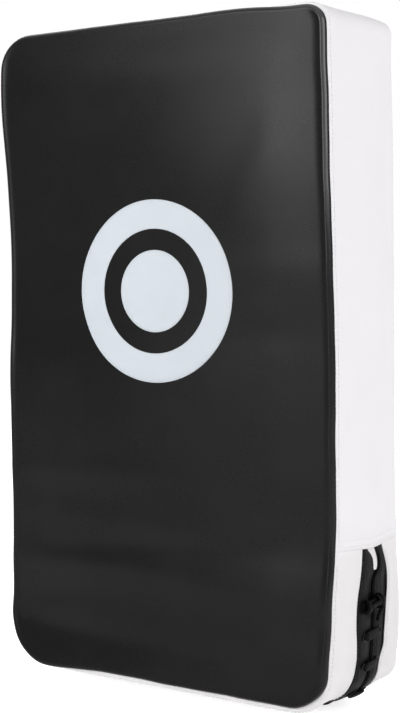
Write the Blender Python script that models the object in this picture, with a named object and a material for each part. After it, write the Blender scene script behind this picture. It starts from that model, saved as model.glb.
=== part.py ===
"""Curved kick pad: a padded strike shield with a laced foam pocket, two forearm straps and
a rolled hand grip. Metres, +Z up, the strike face towards -Y and the straps towards +Y."""

from math import cos, pi, sin

import bmesh
import bpy
import numpy as np
from mathutils import Matrix, Vector

# Pad body
pad_height = 0.600
pad_width = 0.354
pad_depth = 0.138
top_corner_radius = 0.030
bottom_corner_radius = 0.040
front_edge_radius = 0.009
rear_edge_radius = 0.012

# How far the two ends of the strike face stand forward, and over what length
top_curve_reach = 0.014
top_curve_length = 0.290
bottom_curve_reach = 0.009
bottom_curve_length = 0.150

# Cover: thickness of the synthetic leather, and how far its seams are drawn in
cover_thickness = 0.0012
side_seam_tuck = 0.0025
bottom_seam_tuck = 0.0060
belly_rise = 0.017
clearance = 0.0003

# Laced closure of the foam pocket, round the bottom of the pad
lap_seam_height = 0.132
closure_setback = 0.055
slit_width = 0.014
front_facing_width = 0.024
rear_facing_width = 0.015
leg_taper = 0.0115
leg_taper_drop = 0.042
tongue_top_drop = 0.033
tongue_overlap = 0.015
tongue_thickness = 0.0010
side_closure_tuck = 0.0010
bottom_closure_tuck = 0.0060
front_belly_slope = 0.014
rear_belly_slope = 0.011
lace_diameter = 0.0030
first_crossing_drop = 0.058
crossing_pitch = 0.030
rear_eyelet_lead = 0.004
eyelet_edge_distance = 0.0075
eyelet_bore_radius = 0.0021
eyelet_thickness = 0.0008

# Foam: the core block reaches past the tongue on both sides, sheets fill the rest
core_front_margin = 0.013
core_rear_margin = 0.004

# Target print, as thin film
target_centre_x = -0.003
target_centre_height = 0.354
target_outer_radius = 0.0838
target_ring_inner_radius = 0.0569
target_disc_radius = 0.0378
film_thickness = 0.0005

# Forearm straps
strap_below_grip = 0.145
strap_spacing = 0.175
strap_width = 0.050
strap_thickness = 0.004
strap_half_span = 0.072
strap_arch_rise = 0.066
strap_tail_length = 0.058
strap_root_turn = pi * 0.46
patch_thickness = 0.0012
patch_corner_bevel = 0.006
anchor_thickness = 0.0015
anchor_length = 0.044
anchor_margin = 0.004

# Rolled hand grip
grip_drop = 0.110
grip_length = 0.150
grip_radius = 0.016
grip_standoff = 0.0540
grip_end_opening = 0.004
grip_end_round = 0.010
grip_end_fullness = 0.6
grip_fin_width = 0.028
grip_fin_thickness = 0.003
grip_fin_bite = 0.0007
grip_patch_margin = 0.005

# Facets, and how close to a cut a vertex counts as on it
corner_steps = 6
edge_steps = 4
circle_sides = 48
eyelet_sides = 8
grip_sides = 16
fin_foot_steps = 6
strap_arch_steps = 14
cut_tolerance = 1e-6

# Values that follow from the sizes above
wall_inset = side_seam_tuck + cover_thickness + clearance
bottom_wall_inset = bottom_seam_tuck + cover_thickness + clearance
front_belly_start = front_edge_radius + belly_rise
closure_centre_depth = pad_depth - closure_setback
slit_front_depth = closure_centre_depth - slit_width / 2
slit_rear_depth = closure_centre_depth + slit_width / 2
closure_front_depth = slit_front_depth - front_facing_width
closure_rear_depth = slit_rear_depth + rear_facing_width
front_belly_end = closure_front_depth - front_belly_slope
rear_belly_start = closure_rear_depth + rear_belly_slope
leg_taper_height = lap_seam_height - leg_taper_drop
tongue_top_height = lap_seam_height - tongue_top_drop
tongue_half_width = slit_width / 2 + tongue_overlap
front_foam_rear_depth = closure_centre_depth - tongue_half_width - core_front_margin
core_foam_rear_depth = closure_centre_depth + tongue_half_width + core_rear_margin
front_eyelet_depth = slit_front_depth - eyelet_edge_distance
rear_eyelet_depth = slit_rear_depth + eyelet_edge_distance
lace_radius = lace_diameter / 2
bar_outset = clearance + eyelet_thickness + clearance + lace_radius
run_inset = cover_thickness + clearance + lace_radius
cutter_reach = 3 * cover_thickness
tongue_inset = cover_thickness + clearance + lace_diameter + clearance
groove_inset = tongue_inset + tongue_thickness + clearance
grip_height = pad_height - grip_drop
upper_strap_height = grip_height - strap_below_grip
strap_heights = {"upper": upper_strap_height, "lower": upper_strap_height - strap_spacing}
strap_root_height = clearance + anchor_thickness + clearance + strap_thickness / 2
strap_tail_height = 3 * clearance + 2 * patch_thickness + strap_thickness / 2
strap_landing_rise = strap_tail_height - strap_root_height
fin_axis_height = clearance + anchor_thickness + clearance + grip_fin_thickness / 2

# Heights between which the forward curve of the strike face is straight
curve_stations = sorted(
    [0.0, pad_height]
    + list(np.linspace(bottom_corner_radius, bottom_curve_length, 4))
    + list(np.linspace(pad_height - top_curve_length, pad_height - top_corner_radius, 7))
)


def ease(value):
    value = min(max(value, 0.0), 1.0)
    return value * value * (3 - 2 * value)


def smooth_curve(height):
    top = ease((height - pad_height + top_curve_length) / top_curve_length)
    bottom = ease((bottom_curve_length - height) / bottom_curve_length)
    return top_curve_reach * top + bottom_curve_reach * bottom


curve_values = [smooth_curve(height) for height in curve_stations]


def forward_curve(height):
    """How far the strike face stands forward of its middle at this height."""
    return float(np.interp(height, curve_stations, curve_values))


foremost = forward_curve(pad_height - side_seam_tuck - front_edge_radius)
strap_reach = strap_root_height + strap_arch_rise + strap_landing_rise / 2 + strap_thickness / 2
strike_face_y = foremost - (foremost + pad_depth + strap_reach) / 2
back_face_y = strike_face_y + pad_depth


def place(x, depth, height):
    """A point at a depth behind the strike face, with the pad's forward curve."""
    share = max(0.0, 1 - depth / pad_depth)
    return Vector((x, strike_face_y + depth - share * forward_curve(height), height))


# Stations round the pad's outline: a part of it, a turn or a height, and a hand
corner_turns = [pi / 2 * step / corner_steps for step in range(corner_steps + 1)]
side_heights = [h for h in curve_stations if bottom_corner_radius < h < pad_height - top_corner_radius]


def half_stations(extra_heights=()):
    heights = sorted(side_heights + list(extra_heights))
    lower = [("bottom", turn) for turn in corner_turns]
    sides = [("side", height) for height in heights]
    upper = [("top", turn) for turn in corner_turns]
    return lower + sides + upper


def ring_stations(extra_heights=()):
    half = half_stations(extra_heights)
    right = [(part, value, 1) for part, value in half]
    left = [(part, value, -1) for part, value in reversed(half)]
    return right + left


def upper_stations(low_height):
    """From the left lap seam up, over the top and down to the right one."""
    half = [s for s in half_stations() if s[0] == "top" or s[0] == "side" and s[1] > low_height]
    half.insert(0, ("side", low_height))
    left = [(part, value, -1) for part, value in half]
    right = [(part, value, 1) for part, value in reversed(half)]
    return left + right


def lower_stations(high_height, extra_heights=()):
    """From the right leg of the closure down, under the pad and up to the left leg."""
    stations = half_stations(extra_heights)
    half = [s for s in stations if s[0] == "bottom" or s[0] == "side" and s[1] < high_height]
    half.append(("side", high_height))
    right = [(part, value, 1) for part, value in reversed(half)]
    left = [(part, value, -1) for part, value in half]
    return right + left


def rim_point(station, side, bottom, top):
    """A point of the outline, drawn in by an inset for its sides, bottom and top."""
    part, value, hand = station
    if part == "bottom":
        x = pad_width / 2 - bottom_corner_radius + (bottom_corner_radius - side) * sin(value)
        height = bottom_corner_radius - (bottom_corner_radius - bottom) * cos(value)
    elif part == "side":
        x = pad_width / 2 - side
        height = value
    else:
        x = pad_width / 2 - top_corner_radius + (top_corner_radius - side) * cos(value)
        height = pad_height - top_corner_radius + (top_corner_radius - top) * sin(value)
    return hand * x, height


def rim_place(station, depth, insets):
    x, height = rim_point(station, *insets)
    return place(x, depth, height)


def tucked(tuck, bottom_tuck=None):
    """Insets for sides, bottom and top."""
    return (tuck, tuck if bottom_tuck is None else bottom_tuck, tuck)


# Materials
def make_material(name, colour, roughness, metallic=0.0):
    material = bpy.data.materials.new(name)
    material.use_nodes = True
    shader = material.node_tree.nodes["Principled BSDF"]
    shader.inputs["Base Color"].default_value = (*colour, 1.0)
    shader.inputs["Roughness"].default_value = roughness
    shader.inputs["Metallic"].default_value = metallic
    material.diffuse_color = (*colour, 1.0)
    return material


def add_object(name, mesh_data, material, smooth=True):
    model = bpy.data.objects.new(name, mesh_data)
    bpy.context.scene.collection.objects.link(model)
    mesh_data.materials.append(material)
    if smooth:
        mesh_data.shade_smooth()
        mesh_data.set_sharp_from_angle(angle=pi / 6)
    return model


def finish_mesh(name, shape, material, smooth=True):
    """Close a bmesh with outward faces and turn it into a named object."""
    bmesh.ops.recalc_face_normals(shape, faces=shape.faces[:])
    data = bpy.data.meshes.new(name)
    shape.to_mesh(data)
    shape.free()
    return add_object(name, data, material, smooth)


# Shape tools
def skin_between(shape, first, second):
    count = len(first)
    for index in range(count):
        following = (index + 1) % count
        shape.faces.new((first[index], first[following], second[following], second[index]))


def ladder_cap(shape, ring):
    """Close a left-right ring with one level strip between each pair of stations."""
    count = len(ring)
    for index in range(count // 2 - 1):
        shape.faces.new((ring[index], ring[index + 1], ring[count - 2 - index], ring[count - 1 - index]))


def loft(name, rings, stations, material):
    """A solid through rings of (depth, insets), closed at both ends. Insets may vary by station."""
    shape = bmesh.new()
    loops = []
    for depth, insets in rings:
        loop = []
        for station in stations:
            local = insets(station) if callable(insets) else insets
            loop.append(shape.verts.new(rim_place(station, depth, local)))
        loops.append(loop)
    for first, second in zip(loops, loops[1:]):
        skin_between(shape, first, second)
    ladder_cap(shape, loops[0])
    ladder_cap(shape, loops[-1])
    return finish_mesh(name, shape, material)


def sweep(name, stations, section, material):
    """A band along part of the outline. The section gives (depth, insets) corners at each station."""
    shape = bmesh.new()
    loops = []
    for station in stations:
        corners = [rim_place(station, depth, insets) for depth, insets in section(station)]
        loops.append([shape.verts.new(corner) for corner in corners])
    for first, second in zip(loops, loops[1:]):
        skin_between(shape, first, second)
    shape.faces.new(loops[0])
    shape.faces.new(loops[-1])
    return finish_mesh(name, shape, material)


def slab(name, low, high, material, bevel=0.0):
    """A plain plate between two corners, in world metres."""
    shape = bmesh.new()
    middle = (Vector(low) + Vector(high)) / 2
    extent = Vector(high) - Vector(low)
    stretched = Matrix.Translation(middle) @ Matrix.Diagonal((*extent, 1.0))
    bmesh.ops.create_cube(shape, size=1.0, matrix=stretched)
    if bevel:
        upright = [e for e in shape.edges if abs((e.verts[0].co - e.verts[1].co).normalized().y) > 0.9]
        bmesh.ops.bevel(shape, geom=upright, offset=bevel, segments=2, affect="EDGES", profile=0.5)
    return finish_mesh(name, shape, material, smooth=False)


def offset_section(points, thickness):
    """Close an open line of (depth, side, bottom, top) corners with its copy drawn in by a thickness."""
    outer = [(depth, (side, bottom, top)) for depth, side, bottom, top in points]
    inner = [(depth, (side + thickness, bottom + thickness, top + thickness))
             for depth, side, bottom, top in reversed(points)]
    return outer + inner


# Covers
def front_rings(radius, start_depth, tuck, bottom_tuck):
    """The rounded front edge, from the strike face out to the seam."""
    rings = []
    for step in range(edge_steps + 1):
        turn = pi / 2 * step / edge_steps
        inset = radius * (1 - sin(turn))
        rings.append((start_depth + radius * (1 - cos(turn)), tucked(tuck + inset, bottom_tuck + inset)))
    return rings


def make_front_cover(material):
    outer = front_rings(front_edge_radius, 0.0, side_seam_tuck, bottom_seam_tuck)
    inner = front_rings(front_edge_radius - cover_thickness, cover_thickness,
                        side_seam_tuck + cover_thickness, bottom_seam_tuck + cover_thickness)
    return loft("front_cover", outer + inner[::-1], ring_stations(), material)


def rear_round(radius):
    """The rounded rear edge of the gusset as (depth, inset), ending at the back panel."""
    centre = pad_depth - rear_edge_radius
    turns = [pi / 2 * step / edge_steps for step in range(edge_steps + 1)]
    return [(centre + radius * sin(turn), rear_edge_radius - radius * cos(turn)) for turn in turns]


def rear_edge_section():
    outer = [(depth, tucked(inset)) for depth, inset in rear_round(rear_edge_radius)]
    inner = [(depth, tucked(inset)) for depth, inset in rear_round(rear_edge_radius - cover_thickness)]
    return outer, inner[::-1]


def make_upper_gusset(material):
    seam_depth = front_edge_radius + clearance
    belly_inner = tucked(cover_thickness)
    seam_outer = tucked(side_seam_tuck)
    seam_inner = tucked(side_seam_tuck + cover_thickness)
    outer, inner = rear_edge_section()

    def section(station):
        front = [(seam_depth, seam_inner), (seam_depth, seam_outer), (front_belly_start, tucked(0.0))]
        return front + outer + inner + [(front_belly_start, belly_inner)]

    return sweep("upper_gusset", upper_stations(lap_seam_height + clearance / 2), section, material)


def closure_front(station):
    """Depth of the line between the front strip and the closure: the leg tapers up to the lap seam."""
    part, value, _ = station
    if part != "side" or value <= leg_taper_height:
        return closure_front_depth
    return closure_front_depth + leg_taper * (value - leg_taper_height) / leg_taper_drop


def closure_path():
    return lower_stations(lap_seam_height - clearance / 2, (leg_taper_height,))


def make_lower_gusset_front(material):
    seam_depth = front_edge_radius + clearance

    def section(station):
        corners = [
            (seam_depth, side_seam_tuck, bottom_seam_tuck, 0.0),
            (front_belly_start, 0.0, 0.0, 0.0),
            (front_belly_end, 0.0, 0.0, 0.0),
            (closure_front(station), side_closure_tuck, bottom_closure_tuck, 0.0),
        ]
        return offset_section(corners, cover_thickness)

    return sweep("lower_gusset_front", closure_path(), section, material)


def make_lower_gusset_rear(material):
    outer, inner = rear_edge_section()
    start = closure_rear_depth + clearance
    edge_outer = (side_closure_tuck, bottom_closure_tuck, 0.0)
    edge_inner = (side_closure_tuck + cover_thickness, bottom_closure_tuck + cover_thickness, 0.0)

    def section(station):
        front = [(start, edge_inner), (start, edge_outer), (rear_belly_start, tucked(0.0))]
        return front + outer + inner + [(rear_belly_start, tucked(cover_thickness))]

    return sweep("lower_gusset_rear", closure_path(), section, material)


def make_back_cover(material):
    edge = tucked(rear_edge_radius + clearance)
    rings = [(pad_depth - cover_thickness, edge), (pad_depth, edge)]
    return loft("back_cover", rings, ring_stations(), material)


# Laced closure
def closure_insets(offset):
    return (side_closure_tuck + offset, bottom_closure_tuck + offset, 0.0)


def make_facing(name, front_edge, rear_edge, material):
    """A strip of the closure; its front edge may follow the tapering leg."""

    def section(station):
        front = front_edge(station) if callable(front_edge) else front_edge
        corners = [(front, *closure_insets(0.0)), (rear_edge, *closure_insets(0.0))]
        return offset_section(corners, cover_thickness)

    return sweep(name, closure_path(), section, material)


def closure_distances():
    """Distance along the closure at which each of its stations lies."""
    middle = [Vector(rim_point(station, *closure_insets(0.0))) for station in closure_path()]
    distances = [0.0]
    for first, second in zip(middle, middle[1:]):
        distances.append(distances[-1] + (second - first).length)
    return distances


def closure_place(distance, depth, outset):
    """A point of the closure at a distance along it, standing out from its surface."""
    stations = closure_path()
    marks = closure_distances()
    index = max(i for i in range(len(stations) - 1) if i == 0 or marks[i] <= distance)
    share = (distance - marks[index]) / (marks[index + 1] - marks[index])
    first = Vector(rim_point(stations[index], *closure_insets(-outset)))
    second = Vector(rim_point(stations[index + 1], *closure_insets(-outset)))
    x, height = first.lerp(second, share)
    return place(x, depth, height)


def crossing_distances():
    first = first_crossing_drop
    laced = closure_distances()[-1] - 2 * first
    gaps = round(laced / crossing_pitch)
    return [first + laced * index / gaps for index in range(gaps + 1)]


def eyelet_places(column_depth, lead):
    """Centre, outward direction and two directions across for each eyelet of a column."""
    places = []
    for distance in crossing_distances():
        along = distance - lead
        centre = closure_place(along, column_depth, 0.0)
        outward = (closure_place(along, column_depth, bar_outset) - centre).normalized()
        sideways = Vector((0, 1, 0)).cross(outward).normalized()
        places.append((centre, outward, sideways, outward.cross(sideways).normalized()))
    return places


def tube_loop(shape, centre, across, upward, radius, sides):
    turns = [2 * pi * side / sides for side in range(sides)]
    return [shape.verts.new(centre + radius * (cos(turn) * across + sin(turn) * upward)) for turn in turns]


def cut_eyelet_holes(facing, column_depth, lead):
    """Bore the facing under every eyelet of a column."""
    shape = bmesh.new()
    for centre, outward, across, upward in eyelet_places(column_depth, lead):
        low = centre - outward * cutter_reach
        high = centre + outward * cutter_reach
        loops = [tube_loop(shape, end, across, upward, eyelet_bore_radius, eyelet_sides)
                 for end in (low, high)]
        skin_between(shape, *loops)
        shape.faces.new(loops[0])
        shape.faces.new(loops[1])
    bmesh.ops.recalc_face_normals(shape, faces=shape.faces[:])
    data = bpy.data.meshes.new(facing.name + "_holes")
    shape.to_mesh(data)
    shape.free()
    cutter = bpy.data.objects.new(facing.name + "_holes", data)
    bpy.context.scene.collection.objects.link(cutter)
    cutter.hide_render = True
    cutter.display_type = "WIRE"
    cut = facing.modifiers.new("holes", "BOOLEAN")
    cut.operation = "DIFFERENCE"
    cut.solver = "EXACT"
    cut.object = cutter


def make_tongue(material):
    stations = lower_stations(tongue_top_height, (leg_taper_height,))

    def section(station):
        corners = [
            (closure_centre_depth - tongue_half_width, *closure_insets(tongue_inset)),
            (closure_centre_depth + tongue_half_width, *closure_insets(tongue_inset)),
        ]
        return offset_section(corners, tongue_thickness)

    return sweep("lace_tongue", stations, section, material)


def lace_turn(distance, depth, towards, run):
    """Points where the lace turns over an eyelet, from its bar outside to its run inside."""
    # Across towards the bar, along the inside run, both in lace radii, and height above the facing
    bend = [
        (1.2, 0.0, bar_outset),
        (0.7, 0.0, bar_outset - 0.1 * lace_radius),
        (0.1, 0.0, bar_outset - 0.7 * lace_radius),
        (0.0, 0.0, (bar_outset - run_inset) / 2),
        (0.0, 0.1, 0.7 * lace_radius - run_inset),
        (0.0, 0.7, 0.1 * lace_radius - run_inset),
        (0.0, 1.2, -run_inset),
    ]
    points = []
    for across, along, outset in bend:
        mark = distance + run * along * lace_radius
        points.append(closure_place(mark, depth + towards * across * lace_radius, outset))
    return points


def inside_run(start, end):
    """Points of the lace behind the facings, where it bends at the closure's stations."""
    marks = [start[0] + 3 * lace_radius, end[0] - 3 * lace_radius]
    marks += [mark for mark in closure_distances() if marks[0] < mark < marks[1]]
    points = []
    for mark in sorted(marks):
        share = (mark - start[0]) / (end[0] - start[0])
        points.append(closure_place(mark, start[1] + share * (end[1] - start[1]), -run_inset))
    return points


def lace_route():
    """One lace: a bar outside from each front eyelet to its rear one, then a run inside to the next."""
    points = []
    crossings = crossing_distances()
    for index, distance in enumerate(crossings):
        rear_distance = distance - rear_eyelet_lead
        points += lace_turn(distance, front_eyelet_depth, 1, -1)[::-1]
        points += lace_turn(rear_distance, rear_eyelet_depth, -1, 1)
        if index + 1 < len(crossings):
            following = (crossings[index + 1], front_eyelet_depth)
            points += inside_run((rear_distance, rear_eyelet_depth), following)
    return points


def make_lace(material):
    points = lace_route()
    path = bpy.data.curves.new("lace", "CURVE")
    path.dimensions = "3D"
    path.bevel_depth = lace_radius
    path.bevel_resolution = 1
    path.use_fill_caps = True
    path.resolution_u = 1
    spline = path.splines.new("POLY")
    spline.points.add(len(points) - 1)
    for target, point in zip(spline.points, points):
        target.co = (*point, 1.0)
    path.materials.append(material)
    lace = bpy.data.objects.new("lace", path)
    bpy.context.scene.collection.objects.link(lace)


# Foam
def make_front_foam(material):
    radius = front_edge_radius - cover_thickness - clearance
    rings = front_rings(radius, cover_thickness + clearance, wall_inset, bottom_wall_inset)
    rings.append((front_foam_rear_depth - clearance / 2, tucked(wall_inset, bottom_wall_inset)))
    return loft("front_foam_sheet", rings, ring_stations(), material)


def make_core_foam(material):
    """The middle block, cut back where the tongue and the lace runs lie."""
    ledge = lap_seam_height + clearance

    def insets(station):
        part, value, _ = station
        grooved = part == "bottom" or part == "side" and value < ledge
        return closure_insets(groove_inset) if grooved else tucked(wall_inset)

    stations = ring_stations((ledge - clearance, ledge))
    rings = [(front_foam_rear_depth + clearance / 2, insets),
             (core_foam_rear_depth - clearance / 2, insets)]
    return loft("core_foam_block", rings, stations, material)


def make_rear_foam(material):
    rings = [(core_foam_rear_depth + clearance / 2, tucked(wall_inset, bottom_wall_inset))]
    radius = rear_edge_radius - cover_thickness - clearance
    for depth, inset in rear_round(radius):
        if inset > bottom_wall_inset:
            rings.append((depth, tucked(inset)))
    return loft("rear_foam_sheet", rings, ring_stations(), material)


# Target film
def make_film(name, outer_radius, inner_radius, material):
    """A disc or ring of film that follows the forward curve of the strike face."""
    shape = bmesh.new()
    across = Vector((1, 0, 0))
    upward = Vector((0, 0, 1))
    near = Vector((target_centre_x, -clearance, target_centre_height))
    far = near - Vector((0, film_thickness, 0))
    loops = [tube_loop(shape, centre, across, upward, outer_radius, circle_sides) for centre in (near, far)]
    skin_between(shape, *loops)
    if inner_radius:
        holes = [tube_loop(shape, centre, across, upward, inner_radius, circle_sides)
                 for centre in (near, far)]
        skin_between(shape, *holes)
        skin_between(shape, loops[0], holes[0])
        skin_between(shape, loops[1], holes[1])
    else:
        shape.faces.new(loops[0])
        shape.faces.new(loops[1])
    for height in curve_stations:
        geometry = shape.verts[:] + shape.edges[:] + shape.faces[:]
        bmesh.ops.bisect_plane(shape, geom=geometry, plane_co=(0, 0, height), plane_no=(0, 0, 1),
                               dist=cut_tolerance)
    for vert in shape.verts:
        vert.co = place(vert.co.x, vert.co.y, vert.co.z)
    return finish_mesh(name, shape, material)


# Forearm straps
def strap_route():
    """Centre line of a strap seen from above, from its sewn root at the origin, with half thicknesses."""
    half = strap_thickness / 2
    route = []
    for turn in (strap_root_turn, pi / 3, pi / 6):
        route.append((-half * sin(turn), 0.0, half * cos(turn)))
    for step in range(strap_arch_steps + 1):
        share = step / strap_arch_steps
        rise = strap_arch_rise * (1 - (2 * share - 1) ** 2)
        route.append((2 * strap_half_span * share, rise + strap_landing_rise * share, half))
    landing = 2 * strap_half_span
    route.append((landing + strap_tail_length, strap_landing_rise, half))
    return route


def ribbon(shape, route, width):
    """A flat band along a route of (x, y, half thickness), standing width high along Z."""
    loops = []
    for index, (x, y, half) in enumerate(route):
        before = route[max(index - 1, 0)]
        after = route[min(index + 1, len(route) - 1)]
        into = Vector((x - before[0], y - before[1]))
        onward = Vector((after[0] - x, after[1] - y))
        into = (into if into.length > 0 else onward).normalized()
        onward = (onward if onward.length > 0 else into).normalized()
        direction = (into + onward).normalized()
        side = Vector((-direction.y, direction.x)) * half / direction.dot(into)
        corners = [(x + side.x, y + side.y), (x - side.x, y - side.y)]
        loops.append([
            shape.verts.new((*corners[0], -width / 2)),
            shape.verts.new((*corners[0], width / 2)),
            shape.verts.new((*corners[1], width / 2)),
            shape.verts.new((*corners[1], -width / 2)),
        ])
    for first, second in zip(loops, loops[1:]):
        skin_between(shape, first, second)
    shape.faces.new(loops[0])
    shape.faces.new(loops[-1])


def make_strap(level, height, materials):
    """A strap that opens about its sewn root, its patches, and the reinforcement under the root."""
    root = Vector((-strap_half_span, back_face_y + strap_root_height, height))
    shape = bmesh.new()
    ribbon(shape, strap_route(), strap_width)
    strap = finish_mesh("forearm_strap_" + level, shape, materials["strap"])
    strap.location = root

    half = strap_width / 2
    tail_start = strap_half_span + 2 * clearance + strap_thickness / 2
    tail_end = strap_half_span + strap_tail_length
    loop_low = back_face_y + clearance
    hook_low = loop_low + patch_thickness + clearance
    slab("strap_loop_patch_" + level,
         (tail_start, loop_low, height - half), (tail_end, loop_low + patch_thickness, height + half),
         materials["loop"])
    hook_half = half - anchor_margin
    hook_start = Vector((tail_start, hook_low, height - hook_half))
    hook_end = Vector((tail_end - anchor_margin, hook_low + patch_thickness, height + hook_half))
    hook = slab("strap_hook_patch_" + level, hook_start - root, hook_end - root, materials["hook"])
    hook.location = root
    half_anchor = half + anchor_margin
    slab("strap_anchor_patch_" + level,
         (-strap_half_span - anchor_length, loop_low, height - half_anchor),
         (-strap_half_span + anchor_margin, loop_low + anchor_thickness, height + half_anchor),
         materials["patch"], bevel=patch_corner_bevel)


# Hand grip
def grip_loops(shape, radius, length, end_round, opening):
    """Rings of a roll with drawn-in ends, from its left opening to its right one, about the X axis."""
    centre = length / 2 - end_round
    stations = []
    for step in range(edge_steps + 1):
        turn = pi / 2 * (1 - step / edge_steps)
        size = opening + (radius - opening) * cos(turn) ** grip_end_fullness
        stations.append((-centre - end_round * sin(turn), size))
    stations += [(-x, size) for x, size in reversed(stations)]
    across = Vector((0, 0, 1))
    outward = Vector((0, 1, 0))
    roll_centre = Vector((0, grip_standoff - fin_axis_height, 0))
    return [tube_loop(shape, roll_centre + Vector((x, 0, 0)), across, outward, size, grip_sides)
            for x, size in stations]


def make_grip(materials):
    """A rolled grip on two fins that swing about their sewn line."""
    axis = Vector((0, back_face_y + fin_axis_height, grip_height))
    shape = bmesh.new()
    outer = grip_loops(shape, grip_radius, grip_length, grip_end_round, grip_end_opening)
    inner = grip_loops(shape, grip_radius - cover_thickness, grip_length - 2 * cover_thickness,
                       grip_end_round, grip_end_opening)
    rings = outer + inner[::-1]
    for index, ring in enumerate(rings):
        skin_between(shape, ring, rings[(index + 1) % len(rings)])
    roll = finish_mesh("grip_cover", shape, materials["grip"])
    roll.location = axis

    half = grip_fin_thickness / 2
    top = grip_standoff - fin_axis_height - grip_radius + grip_fin_bite
    foot_turns = [pi * step / fin_foot_steps for step in range(fin_foot_steps + 1)]
    profile = [(half * cos(turn), -half * sin(turn)) for turn in foot_turns]
    profile += [(-half, top), (half, top)]
    for hand, side in ((-1, "left"), (1, "right")):
        fin_centre = hand * (grip_length - grip_fin_width - 2 * grip_end_round) / 2
        fin_shape = bmesh.new()
        loops = []
        for x in (fin_centre - grip_fin_width / 2, fin_centre + grip_fin_width / 2):
            loops.append([fin_shape.verts.new((x, y, z)) for z, y in profile])
        skin_between(fin_shape, *loops)
        fin_shape.faces.new(loops[0])
        fin_shape.faces.new(loops[1])
        fin = finish_mesh("grip_fin_" + side, fin_shape, materials["grip"])
        fin.location = axis
        fin.hide_render = True
        fin.display_type = "WIRE"
        weld = roll.modifiers.new("fin_" + side, "BOOLEAN")
        weld.operation = "UNION"
        weld.solver = "EXACT"
        weld.object = fin
        reach = grip_fin_width / 2 + grip_patch_margin
        slab("grip_anchor_patch_" + side,
             (fin_centre - reach, back_face_y + clearance, grip_height - reach),
             (fin_centre + reach, back_face_y + clearance + anchor_thickness, grip_height + reach),
             materials["patch"], bevel=patch_corner_bevel)

    core_shape = bmesh.new()
    radius = grip_radius - cover_thickness - clearance
    core_half = grip_length / 2 - grip_end_round
    centre = Vector((0, grip_standoff - fin_axis_height, 0))
    across = Vector((0, 0, 1))
    outward = Vector((0, 1, 0))
    ends = [tube_loop(core_shape, centre + Vector((x, 0, 0)), across, outward, radius, grip_sides)
            for x in (-core_half, core_half)]
    skin_between(core_shape, *ends)
    core_shape.faces.new(ends[0])
    core_shape.faces.new(ends[1])
    core = finish_mesh("grip_core", core_shape, materials["core"])
    core.location = axis


def main():
    for leftover in list(bpy.data.objects):
        bpy.data.objects.remove(leftover, do_unlink=True)

    black_leather = make_material("black_leather", (0.018, 0.018, 0.019), 0.38)
    white_leather = make_material("white_leather", (0.86, 0.86, 0.88), 0.45)
    back_leather = make_material("back_leather", (0.020, 0.020, 0.021), 0.45)
    print_film = make_material("print_film", (0.72, 0.78, 0.86), 0.55)
    lace_cord = make_material("lace_cord", (0.016, 0.016, 0.017), 0.70)
    sheet_foam = make_material("sheet_foam", (0.30, 0.30, 0.31), 0.90)
    core_foam = make_material("core_foam", (0.55, 0.53, 0.48), 0.90)
    loop_tape = make_material("loop_tape", (0.020, 0.020, 0.020), 0.95)
    hook_tape = make_material("hook_tape", (0.025, 0.025, 0.025), 0.80)

    make_front_cover(black_leather)
    make_upper_gusset(white_leather)
    make_lower_gusset_front(white_leather)
    make_lower_gusset_rear(white_leather)
    make_back_cover(back_leather)

    facing_front = make_facing("lace_facing_front", lambda station: closure_front(station) + clearance,
                               slit_front_depth, black_leather)
    facing_rear = make_facing("lace_facing_rear", slit_rear_depth, closure_rear_depth, black_leather)
    cut_eyelet_holes(facing_front, front_eyelet_depth, 0.0)
    cut_eyelet_holes(facing_rear, rear_eyelet_depth, rear_eyelet_lead)
    make_tongue(black_leather)
    make_lace(lace_cord)

    make_front_foam(sheet_foam)
    make_core_foam(core_foam)
    make_rear_foam(sheet_foam)

    make_film("target_ring", target_outer_radius, target_ring_inner_radius, print_film)
    make_film("target_disc", target_disc_radius, 0.0, print_film)

    finishes = {"strap": back_leather, "loop": loop_tape, "hook": hook_tape, "patch": back_leather,
                "grip": back_leather, "core": sheet_foam}
    for level, height in strap_heights.items():
        make_strap(level, height, finishes)
    make_grip(finishes)


main()
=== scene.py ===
# Curved kick pad: its leather covers, laced closure, straps and grip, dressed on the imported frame.
# Metres, +Z up, the strike face towards -Y. A distance "along" runs round the pad's outline as seen
# from the front, anticlockwise from the middle of the bottom edge; a "depth" is behind the face.
from math import cos, pi, radians, sin

import bmesh
import bpy
import numpy as np
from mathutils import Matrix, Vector
from mathutils.bvhtree import BVHTree


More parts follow.
